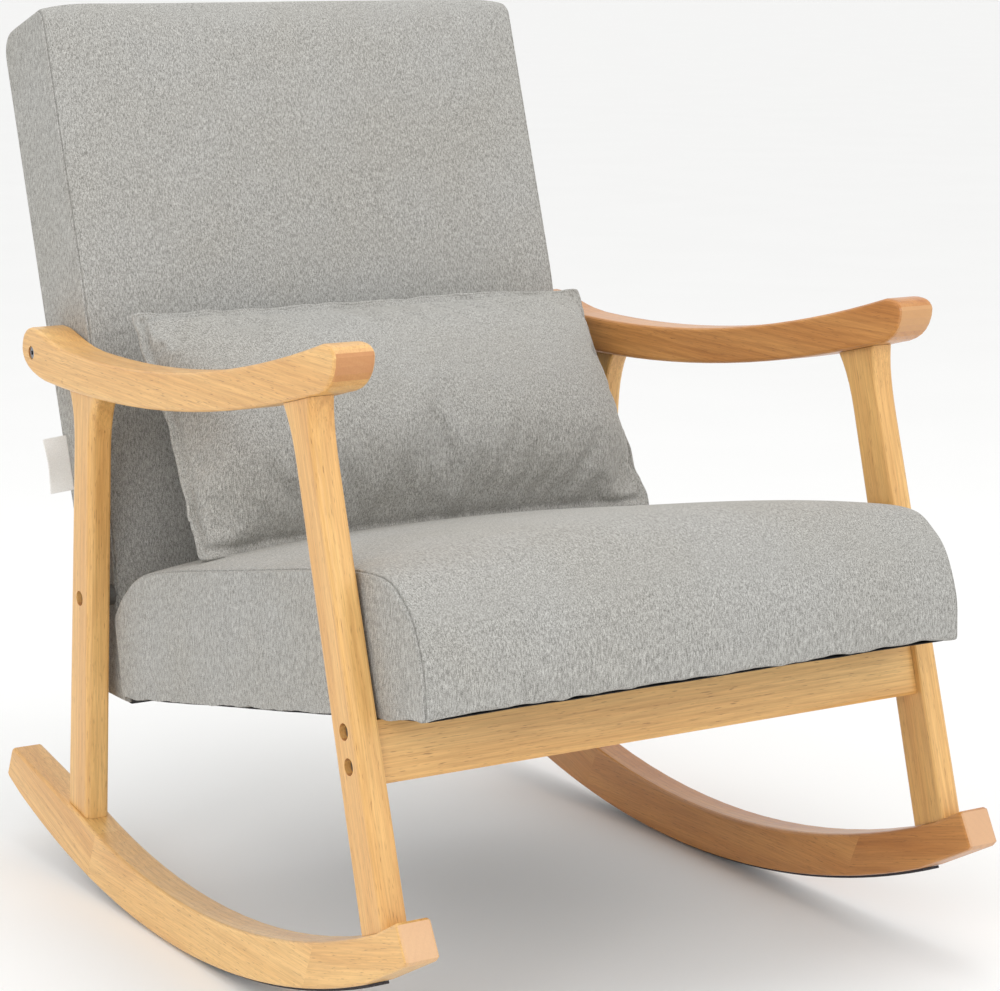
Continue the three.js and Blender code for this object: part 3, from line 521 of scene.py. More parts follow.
@dataclass(frozen=True)
class SimpleFinish:
    """A finish of two close tones broken by fine grain: felt, foam, plywood, steel or tape."""

    name: str
    first: str
    second: str
    grain_mm: float
    roughness: float
    metallic: float = 0.0
    stretch: tuple[float, float, float] = (1.0, 1.0, 1.0)
    bump: float = 0.3

    def build(self) -> bpy.types.Material:
        """Builds the material.

        Returns:
            The finish.
        """
        material, tree = blank_material(self.name)
        at = add_node(tree, "Mapping", {
            "Vector": add_node(tree, "TexCoord").outputs["Object"], "Scale": self.stretch})
        spots = add_node(tree, "TexNoise", {
            "Vector": at.outputs[0], "Scale": 1 / (self.grain_mm * MM), "Detail": 3.0})
        colour = add_node(tree, "ValToRGB", {0: spots.outputs[0]}, ramp=[
            (0.35, tone(self.first)), (0.65, tone(self.second))])
        rough = add_node(tree, "MapRange", {
            0: spots.outputs[0], "To Min": self.roughness - 0.06, "To Max": self.roughness + 0.06})
        bump = add_node(tree, "Bump", {"Height": spots.outputs[0], "Strength": self.bump,
                                       "Distance": 0.0003})
        shader = add_node(tree, "BsdfPrincipled", {
            "Base Color": colour.outputs[0], "Roughness": rough.outputs[0],
            "Metallic": self.metallic, "Normal": bump.outputs[0]})
        finish_material(tree, shader)
        return material


# ---------------------------------------------------------------- soft bodies

@dataclass
class SoftBody:
    """A stuffed or foam body: a closed net of quads that is blown up and sewn."""

    name: str
    pressure: float = 4.0
    cap: float = 10 * MM
    frames: int = 20
    obj: bpy.types.Object | None = field(default=None, init=False)
    rest: np.ndarray | None = field(default=None, init=False)

    def inflate(self, hold: np.ndarray, slack: float = 0.0) -> None:
        """Blows the cover up by a cloth simulation, and caps how far each point moves.

        Args:
            hold: each vertex's hold, from 0 for free to 1 for fixed.
            slack: how much larger the cloth is than the shape it starts from.
        """
        mesh = self.obj.data
        start = coordinates(mesh)
        self.rest = start.copy()
        group = self.obj.vertex_groups.new(name="hold")
        for index, weight in enumerate(hold):
            if weight > 0:
                group.add([index], float(weight), "REPLACE")
        cloth = self.obj.modifiers.new("cloth", "CLOTH")
        how = cloth.settings
        how.quality, how.mass = 5, 0.3
        how.tension_stiffness = how.compression_stiffness = 15.0
        how.shear_stiffness, how.bending_stiffness = 8.0, 1.2
        how.use_pressure, how.uniform_pressure_force = True, self.pressure
        how.shrink_min = how.shrink_max = -slack
        how.vertex_group_mass = "hold"
        how.effector_weights.gravity = 0.0
        cloth.collision_settings.use_self_collision = False
        scene = bpy.context.scene
        for step in range(1, self.frames + 1):
            scene.frame_set(step)
        graph = bpy.context.evaluated_depsgraph_get()
        blown = bpy.data.meshes.new_from_object(self.obj.evaluated_get(graph), depsgraph=graph)
        move = coordinates(blown) - start
        length = np.linalg.norm(move, axis=1, keepdims=True)
        near = self.cap * np.tanh(length / self.cap)
        self.obj.modifiers.clear()
        self.obj.vertex_groups.clear()
        set_coordinates(mesh, start + move * near / np.maximum(length, 1e-9))
        bpy.data.meshes.remove(blown)
        scene.frame_set(1)

    def refine(self) -> None:
        """Halves the size of the faces with one subdivision, for the rest shape as well."""
        twin = self.obj.data.copy()
        set_coordinates(twin, self.rest)
        shadow = new_object("rest_shape", twin)
        for obj in (self.obj, shadow):
            finer = obj.modifiers.new("finer", "SUBSURF")
            finer.levels = finer.render_levels = 1
            apply_modifiers(obj)
        self.rest = coordinates(shadow.data)
        bpy.data.objects.remove(shadow)

    def shift(self, move: Callable[[np.ndarray], np.ndarray | None]) -> None:
        """Moves each vertex by what a function says of its place on the rest shape.

        Args:
            move: gives the move for a rest place, or None.
        """
        now = coordinates(self.obj.data)
        for i, spot in enumerate(self.rest):
            step = move(spot)
            if step is not None:
                now[i] += step
        set_coordinates(self.obj.data, now)

    def groove(self, line: list[Vector], depth: float, width: float, lip: float = 0.0) -> None:
        """Presses a line of stitches into the body.

        Args:
            line: the stitches' points on the rest shape, close together.
            depth: how deep they pull the cloth in.
            width: half the width of the groove.
            lip: how far the cloth stands up on each side.
        """
        tree = nearest(line)
        mesh = self.obj.data
        normals = np.zeros(len(mesh.vertices) * 3)
        mesh.vertices.foreach_get("normal", normals)
        normals = normals.reshape(-1, 3)
        now = coordinates(mesh)
        for i, spot in enumerate(self.rest):
            gap = tree.find(spot)[2]
            if gap < width * 4:
                dip = depth * math.exp(-(gap / width) ** 2)
                rise = lip * math.exp(-((gap - 2.1 * width) / width) ** 2)
                pull = 1 + 0.35 * grain_of(spot, 11 * MM, 3.1)
                now[i] += normals[i] * (rise - dip) * pull
        set_coordinates(mesh, now)

    def finish(self, material: bpy.types.Material, body: str, slot: str, nodes: tuple[str, ...],
               fill: float) -> bpy.types.Object:
        """Args:
            material: what it wears.
            body: the CAD body that it rides on.
            slot: not used.
            nodes: the CAD nodes that it stands for.
            fill: not used.

        Returns:
            The finished object.
        """
        declare(self.obj, material, body, nodes)
        return self.obj


# how a sewn edge turns from the side panel to the band, as (in from the band's face, in from the
# side panel's face): the panel, its rolled lip, the stitches, the band's lip, the band
SEWN_EDGE = [(9.0, 0.0), (6.0, -0.3), (3.9, -0.3), (2.4, 0.3), (1.8, 1.4), (3.5, 3.5),
             (1.4, 2.4), (0.4, 3.8), (0.0, 6.5), (0.0, 11.0), (0.0, 17.0), (0.0, 24.0)]
FREE_BAND = 4  # the last steps of the sewn edge lie on the band, which the stuffing lifts


@dataclass
class PanelledCushion:
    """A foam cushion whose cover is one band of cloth between two sewn side panels."""

    pitch: float = 8 * MM
    panel_rings: int = 7
    panel_bulge: float = 3 * MM
    half: float = field(init=False, default=0.0)

    def ring(self, inset: float, x: float) -> list[Vector]:
        """Draws one closed ring of the cover.

        Args:
            inset: how far it is drawn in.
            x: where it stands across the cushion.

        Returns:
            The ring's points, the same number each time.
        """
        raise NotImplementedError

    def net(self, name: str) -> tuple[SoftBody, np.ndarray]:
        """Builds the cover as a closed net of quads.

        Args:
            name: the piece's name.

        Returns:
            The soft body, and 1 for each vertex on a side panel or its sewn edge, else 0.
        """
        edge = [(inset * MM, self.half - back * MM) for inset, back in SEWN_EDGE]
        inner = edge[-1][1]
        middle = np.linspace(-inner, inner, int(2 * inner / self.pitch))[1:-1]
        columns = ([(inset, -x) for inset, x in edge] + [(0.0, x) for x in middle]
                   + [(inset, x) for inset, x in reversed(edge)])
        rings = [self.ring(inset, x) for inset, x in columns]
        sewn = [1.0 if min(i, len(rings) - 1 - i) < len(SEWN_EDGE) - FREE_BAND else 0.0
                for i in range(len(rings))]
        for end in (0, -1):
            outer = rings[end]
            centre = sum(outer, Vector()) / len(outer)
            way = 1.0 if end else -1.0
            for k in range(1, self.panel_rings + 1):
                f = 1 - k / (self.panel_rings + 0.4)
                swell = self.panel_bulge * (1 - f ** 3)
                ring = [centre + (p - centre) * f + Vector((way * swell, 0, 0)) for p in outer]
                rings.insert(len(rings) if end else 0, ring)
                sewn.insert(len(sewn) if end else 0, 1.0)
        count = len(rings[0])
        faces = ring_faces(len(rings), count)
        for a in (0, (len(rings) - 1) * count):
            faces += [(a + i, a + i + 1, a + count - 2 - i, a + count - 1 - i)
                      for i in range(count // 2 - 1)]
        body = SoftBody(name)
        body.obj = new_object(name, mesh_from(name, [p for r in rings for p in r], faces))
        return body, np.repeat(sewn, count)


@dataclass
class SeatCushion(PanelledCushion):
    """The sloping seat: foam over a board, under one linen cover with sewn side panels."""

    slope: float = math.radians(10.75)
    depth: float = 652 * MM
    thickness: float = 136 * MM
    rear_thickness: float = 88 * MM
    front_radius: float = 50 * MM
    crown: float = 14 * MM
    hem_wave: float = 2.2 * MM
    rear: tuple[float, float] = field(init=False)

    def __post_init__(self) -> None:
        """Reads the width and the lower rear corner from the CAD cover."""
        low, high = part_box("seat_cover")
        self.half = high.x
        self.rear = (high.y - self.rear_thickness * math.sin(self.slope), low.z)

    def at(self, s: float, t: float, x: float = 0.0) -> Vector:
        """Turns a place on the seat into a point.

        Args:
            s: distance forward from the rear.
            t: height square to the slope.
            x: distance from the middle.

        Returns:
            The point.
        """
        c, w = math.cos(self.slope), math.sin(self.slope)
        return Vector((x, self.rear[0] - s * c + t * w, self.rear[1] + s * w + t * c))

    def on_slope(self, rows: np.ndarray) -> tuple[np.ndarray, np.ndarray]:
        """Gives the distance along the slope and the height above it of many points.

        Args:
            rows: the points.

        Returns:
            The distances s and the heights t.
        """
        c, w = math.cos(self.slope), math.sin(self.slope)
        dy, dz = rows[..., 1] - self.rear[0], rows[..., 2] - self.rear[1]
        return -dy * c + dz * w, dy * w + dz * c

    def ring(self, inset: float, x: float) -> list[Vector]:
        """Draws one closed ring of the seat: over the top, down the front, back along the floor.

        Args:
            inset: how far it is drawn in.
            x: where it stands across the cushion.

        Returns:
            The ring's points, the same number each time.
        """
        top, front = self.thickness - inset, self.depth - inset
        r, rear = self.front_radius, self.rear_thickness - inset
        crest = smooth_line([
            (inset, rear), (36 * MM, rear + 26 * MM), (100 * MM, top - 3 * MM),
            (self.depth * 0.45, top), (front - r - 40 * MM, top - 3 * MM),
            (front - r * 0.42, top - r * 0.62), (front, top - r * 1.75), (front - 5 * MM, 0)], 110)
        sag = self.crown * (1 - abs(x / self.half) ** 2.6) - 1 * MM
        points = [self.at(s, t + sag * min(1.0, max(0.0, (t - 50 * MM) / (60 * MM))), x)
                  for s, t in crest]
        low = inset * 0.15
        points += [self.at(s, low, x) for s in np.linspace(front - 5 * MM, inset, 72)[1:]]
        points += [self.at(inset, t, x) for t in np.linspace(low, rear, 12)[1:-1]]
        return points

    def build(self, linen: bpy.types.Material) -> bpy.types.Object:
        """Builds and dresses the seat.

        Args:
            linen: what it is covered in.

        Returns:
            The seat.
        """
        body, sewn = self.net("seat_cushion")
        s, t = self.on_slope(coordinates(body.obj.data))
        low = np.clip((50 * MM - t) / (30 * MM), 0, 1)
        rear = np.clip((22 * MM - s) / (14 * MM), 0, 1)
        body.cap = 12 * MM
        body.inflate(np.maximum.reduce([low, rear, sewn]))
        body.refine()
        body.shift(self.hem)
        return body.finish(linen, "chair", "linen", ("seat_cover", "seat_foam"), fill=0.9)

    def hem(self, spot: np.ndarray) -> np.ndarray | None:
        """Lets the stapled hem wander, and pulls small puckers up from it.

        Args:
            spot: a place on the seat's rest shape.

        Returns:
            How it moves.
        """
        s, t = self.on_slope(spot)
        weight = max(0.0, 1 - t / (22 * MM))
        if weight == 0:
            return None
        wave = grain_of(spot, 34 * MM, 7.0) + 0.6 * grain_of(spot, 14 * MM, 9.0)
        point = max(0.0, 1 - (self.depth - s) / (26 * MM)) * max(
            0.0, 1 - (self.half - abs(spot[0])) / (26 * MM))
        drop = self.hem_wave * wave - 3.5 * MM * point
        puff = 1.2 * MM * grain_of(spot, 22 * MM, 4.0) * (1 if spot[0] > 0 else -1)
        return np.array((puff, math.sin(self.slope) * drop, math.cos(self.slope) * drop)) * weight


@dataclass
class Backrest(PanelledCushion):
    """The leaning back: foam over a plywood frame, with flat sewn side panels."""

    lean: float = math.radians(17.6)
    length: float = 730 * MM
    foot: float = 66 * MM
    full: float = 114 * MM
    lumbar: float = 409 * MM
    rear_corner: float = 24 * MM
    front_corner: float = 13 * MM
    shoulder: float = 7 * MM
    base: tuple[float, float] = field(init=False)

    def __post_init__(self) -> None:
        """Reads the width and the lower rear corner from the CAD cover."""
        low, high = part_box("back_cover")
        self.half = high.x
        self.panel_bulge = 0.4 * MM
        foot = [v.co.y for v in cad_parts["back_cover"].data.vertices
                if v.co.z < low.z + MM]
        self.base = (max(foot), low.z)

    def at(self, d: float, h: float, x: float = 0.0) -> Vector:
        """Turns a place on the back into a point.

        Args:
            d: distance forward from the rear face.
            h: distance up the lean.
            x: distance from the middle.

        Returns:
            The point.
        """
        c, w = math.cos(self.lean), math.sin(self.lean)
        return Vector((x, self.base[0] + h * w - d * c, self.base[1] + h * c + d * w))

    def on_lean(self, rows: np.ndarray) -> tuple[np.ndarray, np.ndarray]:
        """Gives the depth and the height up the lean of many points.

        Args:
            rows: the points.

        Returns:
            The depths d and the heights h.
        """
        c, w = math.cos(self.lean), math.sin(self.lean)
        dy, dz = rows[:, 1] - self.base[0], rows[:, 2] - self.base[1]
        return -dy * c + dz * w, dy * w + dz * c

    def thick(self, h: float) -> float:
        """Gives the back's thickness at a height up the lean."""
        t = min(1.0, max(0.0, h / self.lumbar))
        return self.foot + (self.full - self.foot) * (t * (2 - t) * 0.55 + t * 0.45)

    def ring(self, inset: float, x: float) -> list[Vector]:
        """Draws one closed ring of the back: up the front, over the top, down the rear, foot.

        Args:
            inset: how far it is drawn in.
            x: where it stands across the cushion.

        Returns:
            The ring's points, the same number each time.
        """
        near_side = max(0.0, 1 - (self.half - abs(x)) / (70 * MM))
        top = self.length - inset - self.shoulder * near_side ** 2.5
        drop, toe = math.tan(self.lean), self.foot - inset
        r, q = self.front_corner, self.rear_corner
        points = [self.at(self.thick(h) - inset, h, x)
                  for h in np.linspace(inset - toe * drop, top - r, 88)]
        quarter = [k * math.pi / 12 for k in range(1, 7)]
        points += [self.at(self.full - inset - r * (1 - math.cos(a)),
                           top - r * (1 - math.sin(a)), x) for a in quarter]
        points += [self.at(d, top, x)
                   for d in np.linspace(self.full - inset - r, inset + q, 9)[1:]]
        points += [self.at(inset + q * (1 - math.sin(a)),
                           top - q * (1 - math.cos(a)), x) for a in quarter]
        points += [self.at(inset, h, x)
                   for h in np.linspace(top - q, inset - inset * drop, 86)[1:]]
        points += [self.at(d, inset - d * drop, x) for d in np.linspace(inset, toe, 9)[1:-1]]
        return points

    def build(self, linen: bpy.types.Material) -> bpy.types.Object:
        """Builds and dresses the back.

        Args:
            linen: what it is covered in.

        Returns:
            The back.
        """
        body, sewn = self.net("back_cushion")
        d, h = self.on_lean(coordinates(body.obj.data))
        rear = np.clip((34 * MM - d) / (15 * MM), 0, 1)
        low = np.clip((40 * MM - h) / (30 * MM), 0, 1)
        body.cap = 8 * MM
        body.inflate(np.maximum.reduce([rear, sewn, low]))
        body.refine()
        return body.finish(linen, "chair", "linen", ("back_cover", "back_foam"), fill=0.9)


@dataclass
class LumbarPillow:
    """The loose pillow: two linen faces sewn round a soft filling, with a stitched flange."""

    height: float = 274 * MM
    thickness: float = 128 * MM
    flange: float = 9 * MM
    flange_thickness: float = 3.2 * MM
    welt_radius: float = 2.1 * MM
    draw_in: float = 0.035
    lean: float = math.radians(34)
    step: float = 5 * MM
    half: float = field(init=False)
    foot: Vector = field(init=False)

    def __post_init__(self) -> None:
        """Reads the width and the lower seam from the CAD pillow."""
        low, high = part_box("pillow_cover")
        self.half = high.x
        middle = (low + high) / 2
        rise = Vector((0, math.sin(self.lean), math.cos(self.lean)))
        self.foot = middle - rise * self.height / 2

    def shape(self, u: float, v: float, face: int) -> tuple[float, float, float]:
        """Gives a point of the flat pillow in its own space.

        Args:
            u: from -1 to 1 across.
            v: from -1 to 1 up.
            face: 1 for the front, -1 for the rear.

        Returns:
            Across, up and out.
        """
        x, y = u * self.half, v * self.height / 2
        edge_x = self.half - abs(x)
        edge_y = self.height / 2 - abs(y)
        edge = min(edge_x, edge_y)
        inner_u = min(1.0, abs(x) / (self.half - self.flange))
        inner_v = min(1.0, abs(y) / (self.height / 2 - self.flange))
        low = 1 + 0.22 * (1 - v) * (1 - abs(v))
        swell = max(0.0, 1 - inner_u ** 4.5) ** 0.5 * max(0.0, 1 - inner_v ** 2.6) ** 0.5 * low
        out = self.flange_thickness / 2 + (self.thickness - self.flange_thickness) / 2 * swell * 0.9
        if edge < 0.5 * MM:
            out = 0.0
        x *= 1 - self.draw_in * (1 - v * v) * 0.6
        y *= 1 - self.draw_in * (1 - u * u)
        return x, y, face * out

    def place(self, x: float, y: float, out: float) -> Vector:
        """Stands a point of the flat pillow up against the back.

        Args:
            x: across.
            y: up the pillow from its middle.
            out: towards the sitter.

        Returns:
            The point in the frame.
        """
        rise = Vector((0, math.sin(self.lean), math.cos(self.lean)))
        forward = Vector((0, -math.cos(self.lean), math.sin(self.lean)))
        return (self.foot + rise * (self.height / 2 + y) + forward * out + Vector((x, 0, 0)))

    def build(self, linen: bpy.types.Material) -> bpy.types.Object:
        """Builds and dresses the pillow.

        Args:
            linen: what it is covered in.

        Returns:
            The pillow.
        """
        across = int(2 * self.half / self.step)
        up = int(self.height / self.step)
        us, vs = ([math.sin(math.pi / 2 * f) * 0.25 + f * 0.75
                   for f in (2 * i / steps - 1 for i in range(steps + 1))]
                  for steps in (across, up))
        index: dict[tuple[int, int, int], int] = {}
        points, faces, holds = [], [], []
        for face in (1, -1):
            for i, u in enumerate(us):
                for j, v in enumerate(vs):
                    rim = i in (0, across) or j in (0, up)
                    if face == -1 and rim:
                        index[(i, j, face)] = index[(i, j, 1)]
                        continue
                    x, y, out = self.shape(u, v, face)
                    edge = min(self.half - abs(u * self.half), self.height / 2 * (1 - abs(v)))
                    index[(i, j, face)] = len(points)
                    points.append(self.place(x, y, out))
                    holds.append(min(1.0, max(0.0, (self.flange + 2 * MM - edge) / (3 * MM))))
            for i in range(across):
                for j in range(up):
                    quad = [index[(i, j, face)], index[(i + 1, j, face)],
                            index[(i + 1, j + 1, face)], index[(i, j + 1, face)]]
                    faces.append(tuple(quad))
        body = SoftBody("lumbar_pillow", pressure=6.0, cap=16 * MM)
        body.obj = new_object(body.name, mesh_from(body.name, points, faces))
        body.inflate(np.array(holds), slack=0.045)
        body.refine()
        body.groove(self.round_line(self.flange, 700), depth=4 * MM, width=2.8 * MM, lip=1.0 * MM)
        body.shift(self.settle)
        self.welt(body, linen)
        return body.finish(linen, "pillow", "linen", ("pillow_cover", "pillow_filling"), fill=0.6)

    def round_line(self, inset: float, count: int) -> list[Vector]:
        """Draws a line round the front face at a distance from the edge.

        Args:
            inset: the distance from the edge.
            count: how many points it gets.

        Returns:
            The points, close together.
        """
        line = []
        w = self.half - inset
        h = self.height / 2 - inset
        for k in range(count):
            side, f = divmod(k / count * 4, 1)
            f = f * 2 - 1
            x, y = [(f * w, -h), (w, f * h), (-f * w, h), (-w, -f * h)][int(side)]
            line.append(self.place(*self.shape(x / self.half, y / (self.height / 2), 1)))
        return line

    def welt(self, body: SoftBody, linen: bpy.types.Material) -> None:
        """Rolls the sewn edge over into a thin welt that follows the finished rim.

        Args:
            body: the pillow's soft body, in its last shape.
            linen: what it is covered in.
        """
        now = coordinates(body.obj.data)
        tree = nearest(body.rest)
        rim = [now[tree.find(p)[1]] for p in self.round_line(0.0, 340)]
        sides = 8
        points = []
        for k, spot in enumerate(rim):
            ahead = Vector(rim[(k + 1) % len(rim)] - rim[k - 1]).normalized()
            out = ahead.orthogonal().normalized()
            other = ahead.cross(out)
            thick = self.welt_radius * (1 + 0.3 * grain_of(spot, 9 * MM, 2.0))
            for j in range(sides):
                a = 2 * math.pi * j / sides
                points.append(Vector(spot) + (out * math.cos(a) + other * math.sin(a)) * thick)
        points = self.untwist(points, sides)
        faces = ring_faces(len(rim), sides, closed=True)
        declare(new_object("pillow_welt", mesh_from("pillow_welt", points, faces)),
                linen, "pillow")

    @staticmethod
    def untwist(points: list[Vector], sides: int) -> list[Vector]:
        """Turns each ring of a tube so that it starts next to the one before.

        Args:
            points: the rings' points, one ring after another.
            sides: how many points a ring has.

        Returns:
            The same points, each ring turned.
        """
        done = points[:sides]
        for k in range(sides, len(points), sides):
            ring, last = points[k:k + sides], done[-sides]
            first = min(range(sides), key=lambda j: (ring[j] - last).length)
            done += ring[first:] + ring[:first]
        return done

    def settle(self, spot: np.ndarray) -> np.ndarray:
        """Lets the flange ripple, and lets an upper corner slump.

        Args:
            spot: a place on the pillow's rest shape.

        Returns:
            How it moves.
        """
        rise = np.array((0, math.sin(self.lean), math.cos(self.lean)))
        forward = np.array((0, -math.cos(self.lean), math.sin(self.lean)))
        local = spot - np.array(self.foot)
        y, x = float(local @ rise), local[0]
        edge = min(self.half - abs(x), y, self.height - y)
        near = max(0.0, 1 - edge / (30 * MM))
        wave = near * (grain_of(spot, 30 * MM, 21.0) * 6.5 * MM
                       + grain_of(spot, 13 * MM, 5.0) * 1.6 * MM)
        sway = grain_of(spot, 34 * MM, 33.0) * 2.6 * MM * near
        corner = math.exp(-((self.half - abs(x) - 34 * MM) ** 2 + (y - 40 * MM) ** 2)
                          / (26 * MM) ** 2)
        pinch = -9 * MM * corner if local @ forward > 0 else 0.0
        slump = 9 * MM * max(0.0, y / self.height - 0.55) / 0.45 * max(
            0.0, x / self.half - 0.45) / 0.55
        low = 6 * MM * max(0.0, 1 - y / (20 * MM))
        return forward * (wave + pinch) - rise * (slump + low) + np.array((sway, 0, 0))


@dataclass
class DustCover:
    """Black non-woven cloth stapled under the seat and the foot of the back."""

    thickness: float = 0.7 * MM
    sag: float = 1.8 * MM
    inset: float = 7 * MM
    columns: int = 90
    seat_rows: int = 110
    foot_rows: int = 10
    seat: SeatCushion = field(default_factory=SeatCushion)
    back: Backrest = field(default_factory=Backrest)

    def build(self, cloth: bpy.types.Material) -> bpy.types.Object:
        """Builds and dresses the dust cover.

        Args:
            cloth: what it is made of.

        Returns:
            The sheet.
        """
        rail_low, rail_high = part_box("front_rail")
        stations: list[tuple[str, float]] = []
        front = self.seat.depth - 9 * MM
        for s in np.linspace(front, 10 * MM, self.seat_rows):
            stations.append(("seat", float(s)))
        foot_front = self.seat.rear[0] + 6 * MM
        foot_rear = self.back.base[0] - self.inset
        for y in np.linspace(foot_front, foot_rear, self.foot_rows):
            stations.append(("back", float(y)))
        points = []
        for place, value in stations:
            half = self.seat.half if place == "seat" else self.back.half
            for c in range(self.columns + 1):
                x = (2 * c / self.columns - 1) * (half - self.inset)
                if place == "seat":
                    spot = self.seat.at(value, -0.5 * MM, x)
                    over_rail = rail_low.y - 12 * MM < spot.y < rail_high.y + 12 * MM
                    edge = min(half - abs(x), self.seat.depth - value)
                    hang = self.sag * max(0.0, 1 - edge / (30 * MM)) * (
                        0.75 + 0.5 * grain_of(spot, 45 * MM, 5.0))
                    drop = 0.0 if over_rail else hang
                    points.append(self.seat.at(value, -0.5 * MM - drop, x))
                else:
                    drop = 0.8 * MM + 0.4 * MM * grain_of((x, value, 0), 30 * MM, 2.0)
                    points.append(Vector((x, value, self.back.base[1] - drop)))
        faces = grid_faces(len(stations) - 1, self.columns)
        obj = new_object("dust_cover", mesh_from("dust_cover", points, faces))
        solid = obj.modifiers.new("cloth", "SOLIDIFY")
        solid.thickness, solid.offset = self.thickness, 0.0
        apply_modifiers(obj)
        declare(obj, cloth, "chair", ("dust_cloth",), smooth=False)
        return obj


@dataclass
class SideTag:
    """A plain woven tag, folded double and sewn into the side seam of the back."""

    bend: float = 3 * MM
    length: float = 60 * MM
    thickness: float = 0.9 * MM

    def build(self, tape: bpy.types.Material) -> bpy.types.Object:
        """Builds and dresses the tag.

        Args:
            tape: what it is woven from.

        Returns:
            The tag.
        """
        low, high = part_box("side_tag")
        lean = Backrest().lean
        middle = (low + high) / 2
        width = high.x - low.x
        rise = Vector((0, math.sin(lean), math.cos(lean)))
        forward = Vector((0, -math.cos(lean), math.sin(lean)))
        rows, columns = 24, 12
        points = []
        for r in range(rows + 1):
            for c in range(columns + 1):
                out = c / columns
                along = r / rows - 0.5
                curl = self.bend * (out ** 2) * math.cos(along * 5) - 1.2 * MM * out
                points.append(middle + Vector((width / 2 - width * out, 0, 0))
                              + rise * (along * self.length - 2 * MM * out) + forward * curl)
        obj = new_object("woven_tag", mesh_from("woven_tag", points, grid_faces(rows, columns)))
        solid = obj.modifiers.new("tape", "SOLIDIFY")
        solid.thickness, solid.offset = self.thickness, 0.0
        round_off = obj.modifiers.new("fold", "SUBSURF")
        round_off.levels = round_off.render_levels = 1
        apply_modifiers(obj)
        declare(obj, tape, "chair", ("side_tag",))
        return obj


# ---------------------------------------------------------------- wood, steel and felt

@dataclass
class WoodenFrame:
    """The CAD's own frame: rockers, legs, armrests, rail, and all that joins them."""

    def wood(self) -> dict[str, LacqueredWood]:
        """Lists the lacquered boards by node.

        Returns:
            A finish for each wooden node that shows.
        """
        boards: dict[str, LacqueredWood] = {}
        for number, side in enumerate(("left", "right")):
            # the left side's rocker and armrest get darker, redder tones than the right's: painted
            # shade for the shade on that side of the chair, partly a board picked a shade darker
            left_painted_shade = {} if side == "right" else {
                "pale": "#cf9350", "body": "#b97735", "late": "#935822", "end": "#c99a68"}
            boards[f"rocker_{side}"] = LacqueredWood(
                f"rubberwood_lacquered_rocker_{side}", (0, 1, 0), run=GrainRun.JOINTED,
                pith=(0, 0.05, -0.07), seed=1.3 + number, **{**left_painted_shade, "end": "#d3a983"})
            boards[f"armrest_{side}"] = LacqueredWood(
                f"rubberwood_lacquered_armrest_{side}", (0, 1, 0.02),
                pith=(0, 0.26 - 0.6 * number, -0.53), seed=3.1 + number, **left_painted_shade)
            boards[f"front_leg_{side}"] = LacqueredWood(
                f"rubberwood_lacquered_front_leg_{side}", (0, 0.274, 0.962),
                pith=(0, 0.2, -0.3), seed=5.7 + number)
            boards[f"rear_leg_{side}"] = LacqueredWood(
                f"rubberwood_lacquered_rear_leg_{side}", (0, -0.09, 0.996),
                pith=(0, 0.3, -0.2), seed=7.9 + number)
        boards["front_rail"] = LacqueredWood(
            "rubberwood_lacquered_rail", (1, 0, 0), pith=(0, 0.33, -0.42), seed=9.4)
        return boards

    def small(self) -> list[tuple[tuple[str, ...], SimpleFinish]]:
        """Lists the finishes of the smaller and the inner pieces.

        Returns:
            Words that start or end a node's name, with the finish they get.
        """
        return [
            (("rocker_strip",), SimpleFinish(
                "rubberised_felt_strip", "#2c2b30", "#45444a", 1.2, 0.9)),
            # the spacer between the rear leg and the back is dark grey so that it reads as the shade
            # in that gap: painted shade on a real spacer
            (("spacer",), SimpleFinish("spacer_painted_shade_grey", "#5f5d59", "#6b6965", 2.0, 0.6)),
            (("_dowel_",), SimpleFinish(
                "beech_turned_bare", "#dcb98a", "#e9cda2", 3.0, 0.6, stretch=(1, 1, 0.2))),
            (("frame_side", "_bar", "seat_board"), SimpleFinish(
                "plywood_sawn", "#c29a68", "#d8b586", 5.0, 0.75, stretch=(0.2, 1, 1))),
            (("_insert", "barrel_nut"), SimpleFinish(
                "zinc_plated_steel", "#8d9196", "#a9adb1", 0.8, 0.42, metallic=1.0, bump=0.1)),
            (("_bolt",), SimpleFinish(
                "steel_turned_bolt", "#7f8388", "#9da1a6", 0.6, 0.34, metallic=1.0, bump=0.1)),
        ]

    def build(self) -> int:
        """Dresses every carried-over node of the frame.

        Returns:
            How many nodes it dressed.
        """
        done = 0
        wood = {node: finish.build() for node, finish in self.wood().items()}
        rest = [(words, finish.build()) for words, finish in self.small()]
        for name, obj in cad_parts.items():
            if obj.hide_render:
                continue
            material = wood.get(name) or next(
                (m for words, m in rest if any(w in name for w in words)), None)
            if material is None:
                LOG.warning("no finish for %s", name)
                continue
            dress(obj, material)
            done += 1
        return done


# ---------------------------------------------------------------- studio

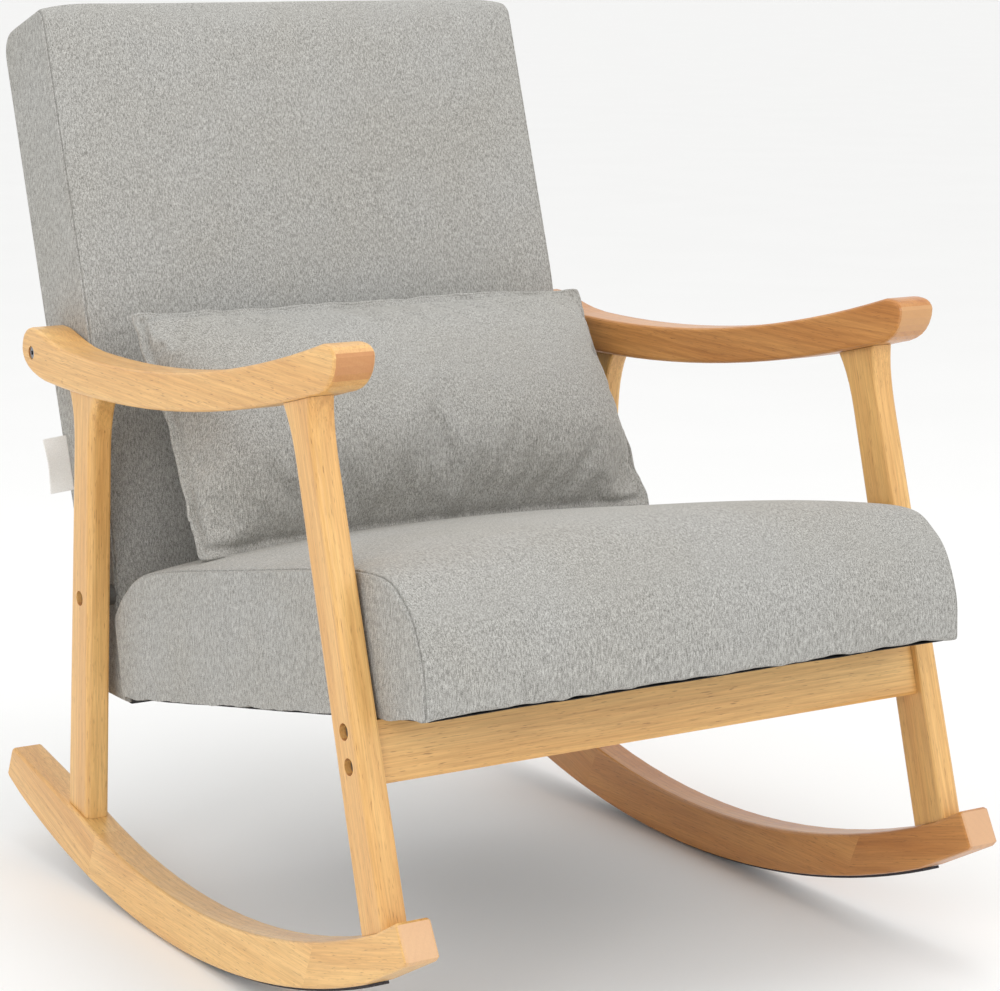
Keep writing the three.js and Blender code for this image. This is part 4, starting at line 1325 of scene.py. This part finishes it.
@dataclass
class Studio:
    """A pale floor, soft light from all round, and the camera."""

    camera_at: tuple[float, float, float] = (-1.540, -2.5886, 1.002)
    turn: float = math.radians(-31.67)
    pitch: float = math.radians(10.66)
    lens: float = 106.117
    shift: tuple[float, float] = (-0.0022, -0.0033)
    # each soft box: its name, its place, its width and its power in watts
    lights: tuple[tuple[str, tuple[float, float, float], float, float], ...] = (
        ("key", (-2.6, -2.2, 2.2), 1.6, 26), ("fill", (1.2, -3.0, 1.6), 2.0, 9),
        ("top", (0.2, -0.4, 3.2), 1.8, 20))

    def floor(self) -> None:
        """Lays a wide pale floor under the chair."""
        size = 90.0
        corners = [(-size, -size, 0), (size, -size, 0), (size, size, 0), (-size, size, 0)]
        obj = new_object("floor", mesh_from("floor", corners, [(0, 1, 2, 3)]))
        dress(obj, SimpleFinish("studio_floor_matt_paint", "#f4f4f3", "#f5f5f4", 400.0, 0.9,
                                bump=0.0).build())

    def area(self, name: str, at: tuple[float, float, float], size: float, power: float) -> None:
        """Hangs one soft box, aimed at the chair.

        Args:
            name: the light's name.
            at: where it hangs.
            size: its width and height.
            power: its power in watts.
        """
        light = bpy.data.lights.new(name, "AREA")
        light.size, light.energy = size, power
        obj = bpy.data.objects.new(name, light)
        obj.location = at
        aim = Vector((0, 0, 0.45)) - Vector(at)
        obj.rotation_euler = aim.to_track_quat("-Z", "Y").to_euler()
        bpy.context.scene.collection.objects.link(obj)

    def build(self) -> None:
        """Sets up the floor, the lights and the camera."""
        self.floor()
        world = bpy.data.worlds.new("studio")
        world.use_nodes = True
        world.node_tree.nodes["Background"].inputs[0].default_value = (1, 1, 1, 1)
        world.node_tree.nodes["Background"].inputs[1].default_value = 1.0
        bpy.context.scene.world = world
        bpy.context.scene.view_settings.view_transform = "Standard"
        for light in self.lights:
            self.area(*light)
        camera = bpy.data.cameras.new("camera")
        camera.lens, camera.sensor_width = self.lens, 36.0
        camera.shift_x, camera.shift_y = self.shift
        obj = bpy.data.objects.new("camera", camera)
        obj.location = self.camera_at
        obj.rotation_euler = Euler((math.pi / 2 - self.pitch, 0, self.turn), "XYZ")
        bpy.context.scene.collection.objects.link(obj)
        bpy.context.scene.camera = obj


def main() -> None:
    """Builds the chair's soft pieces, dresses the frame and sets up the studio."""
    logging.basicConfig(level=logging.INFO, format="%(name)s: %(message)s")
    linen = HeatheredLinen().build()
    black = SimpleFinish("nonwoven_polypropylene", "#0c0d10", "#1b1c20", 1.5, 0.85).build()
    tape = SimpleFinish("woven_polyester_tape", "#e9e9e6", "#f6f6f4", 0.9, 0.7).build()
    for piece in (SeatCushion().build(linen), Backrest().build(linen), LumbarPillow().build(linen),
                  DustCover().build(black), SideTag().build(tape)):
        LOG.info("%s: %d vertices", piece.name, len(piece.data.vertices))
    LOG.info("dressed %d nodes of the frame", WoodenFrame().build())
    Studio().build()


if __name__ == "__main__":
    main()
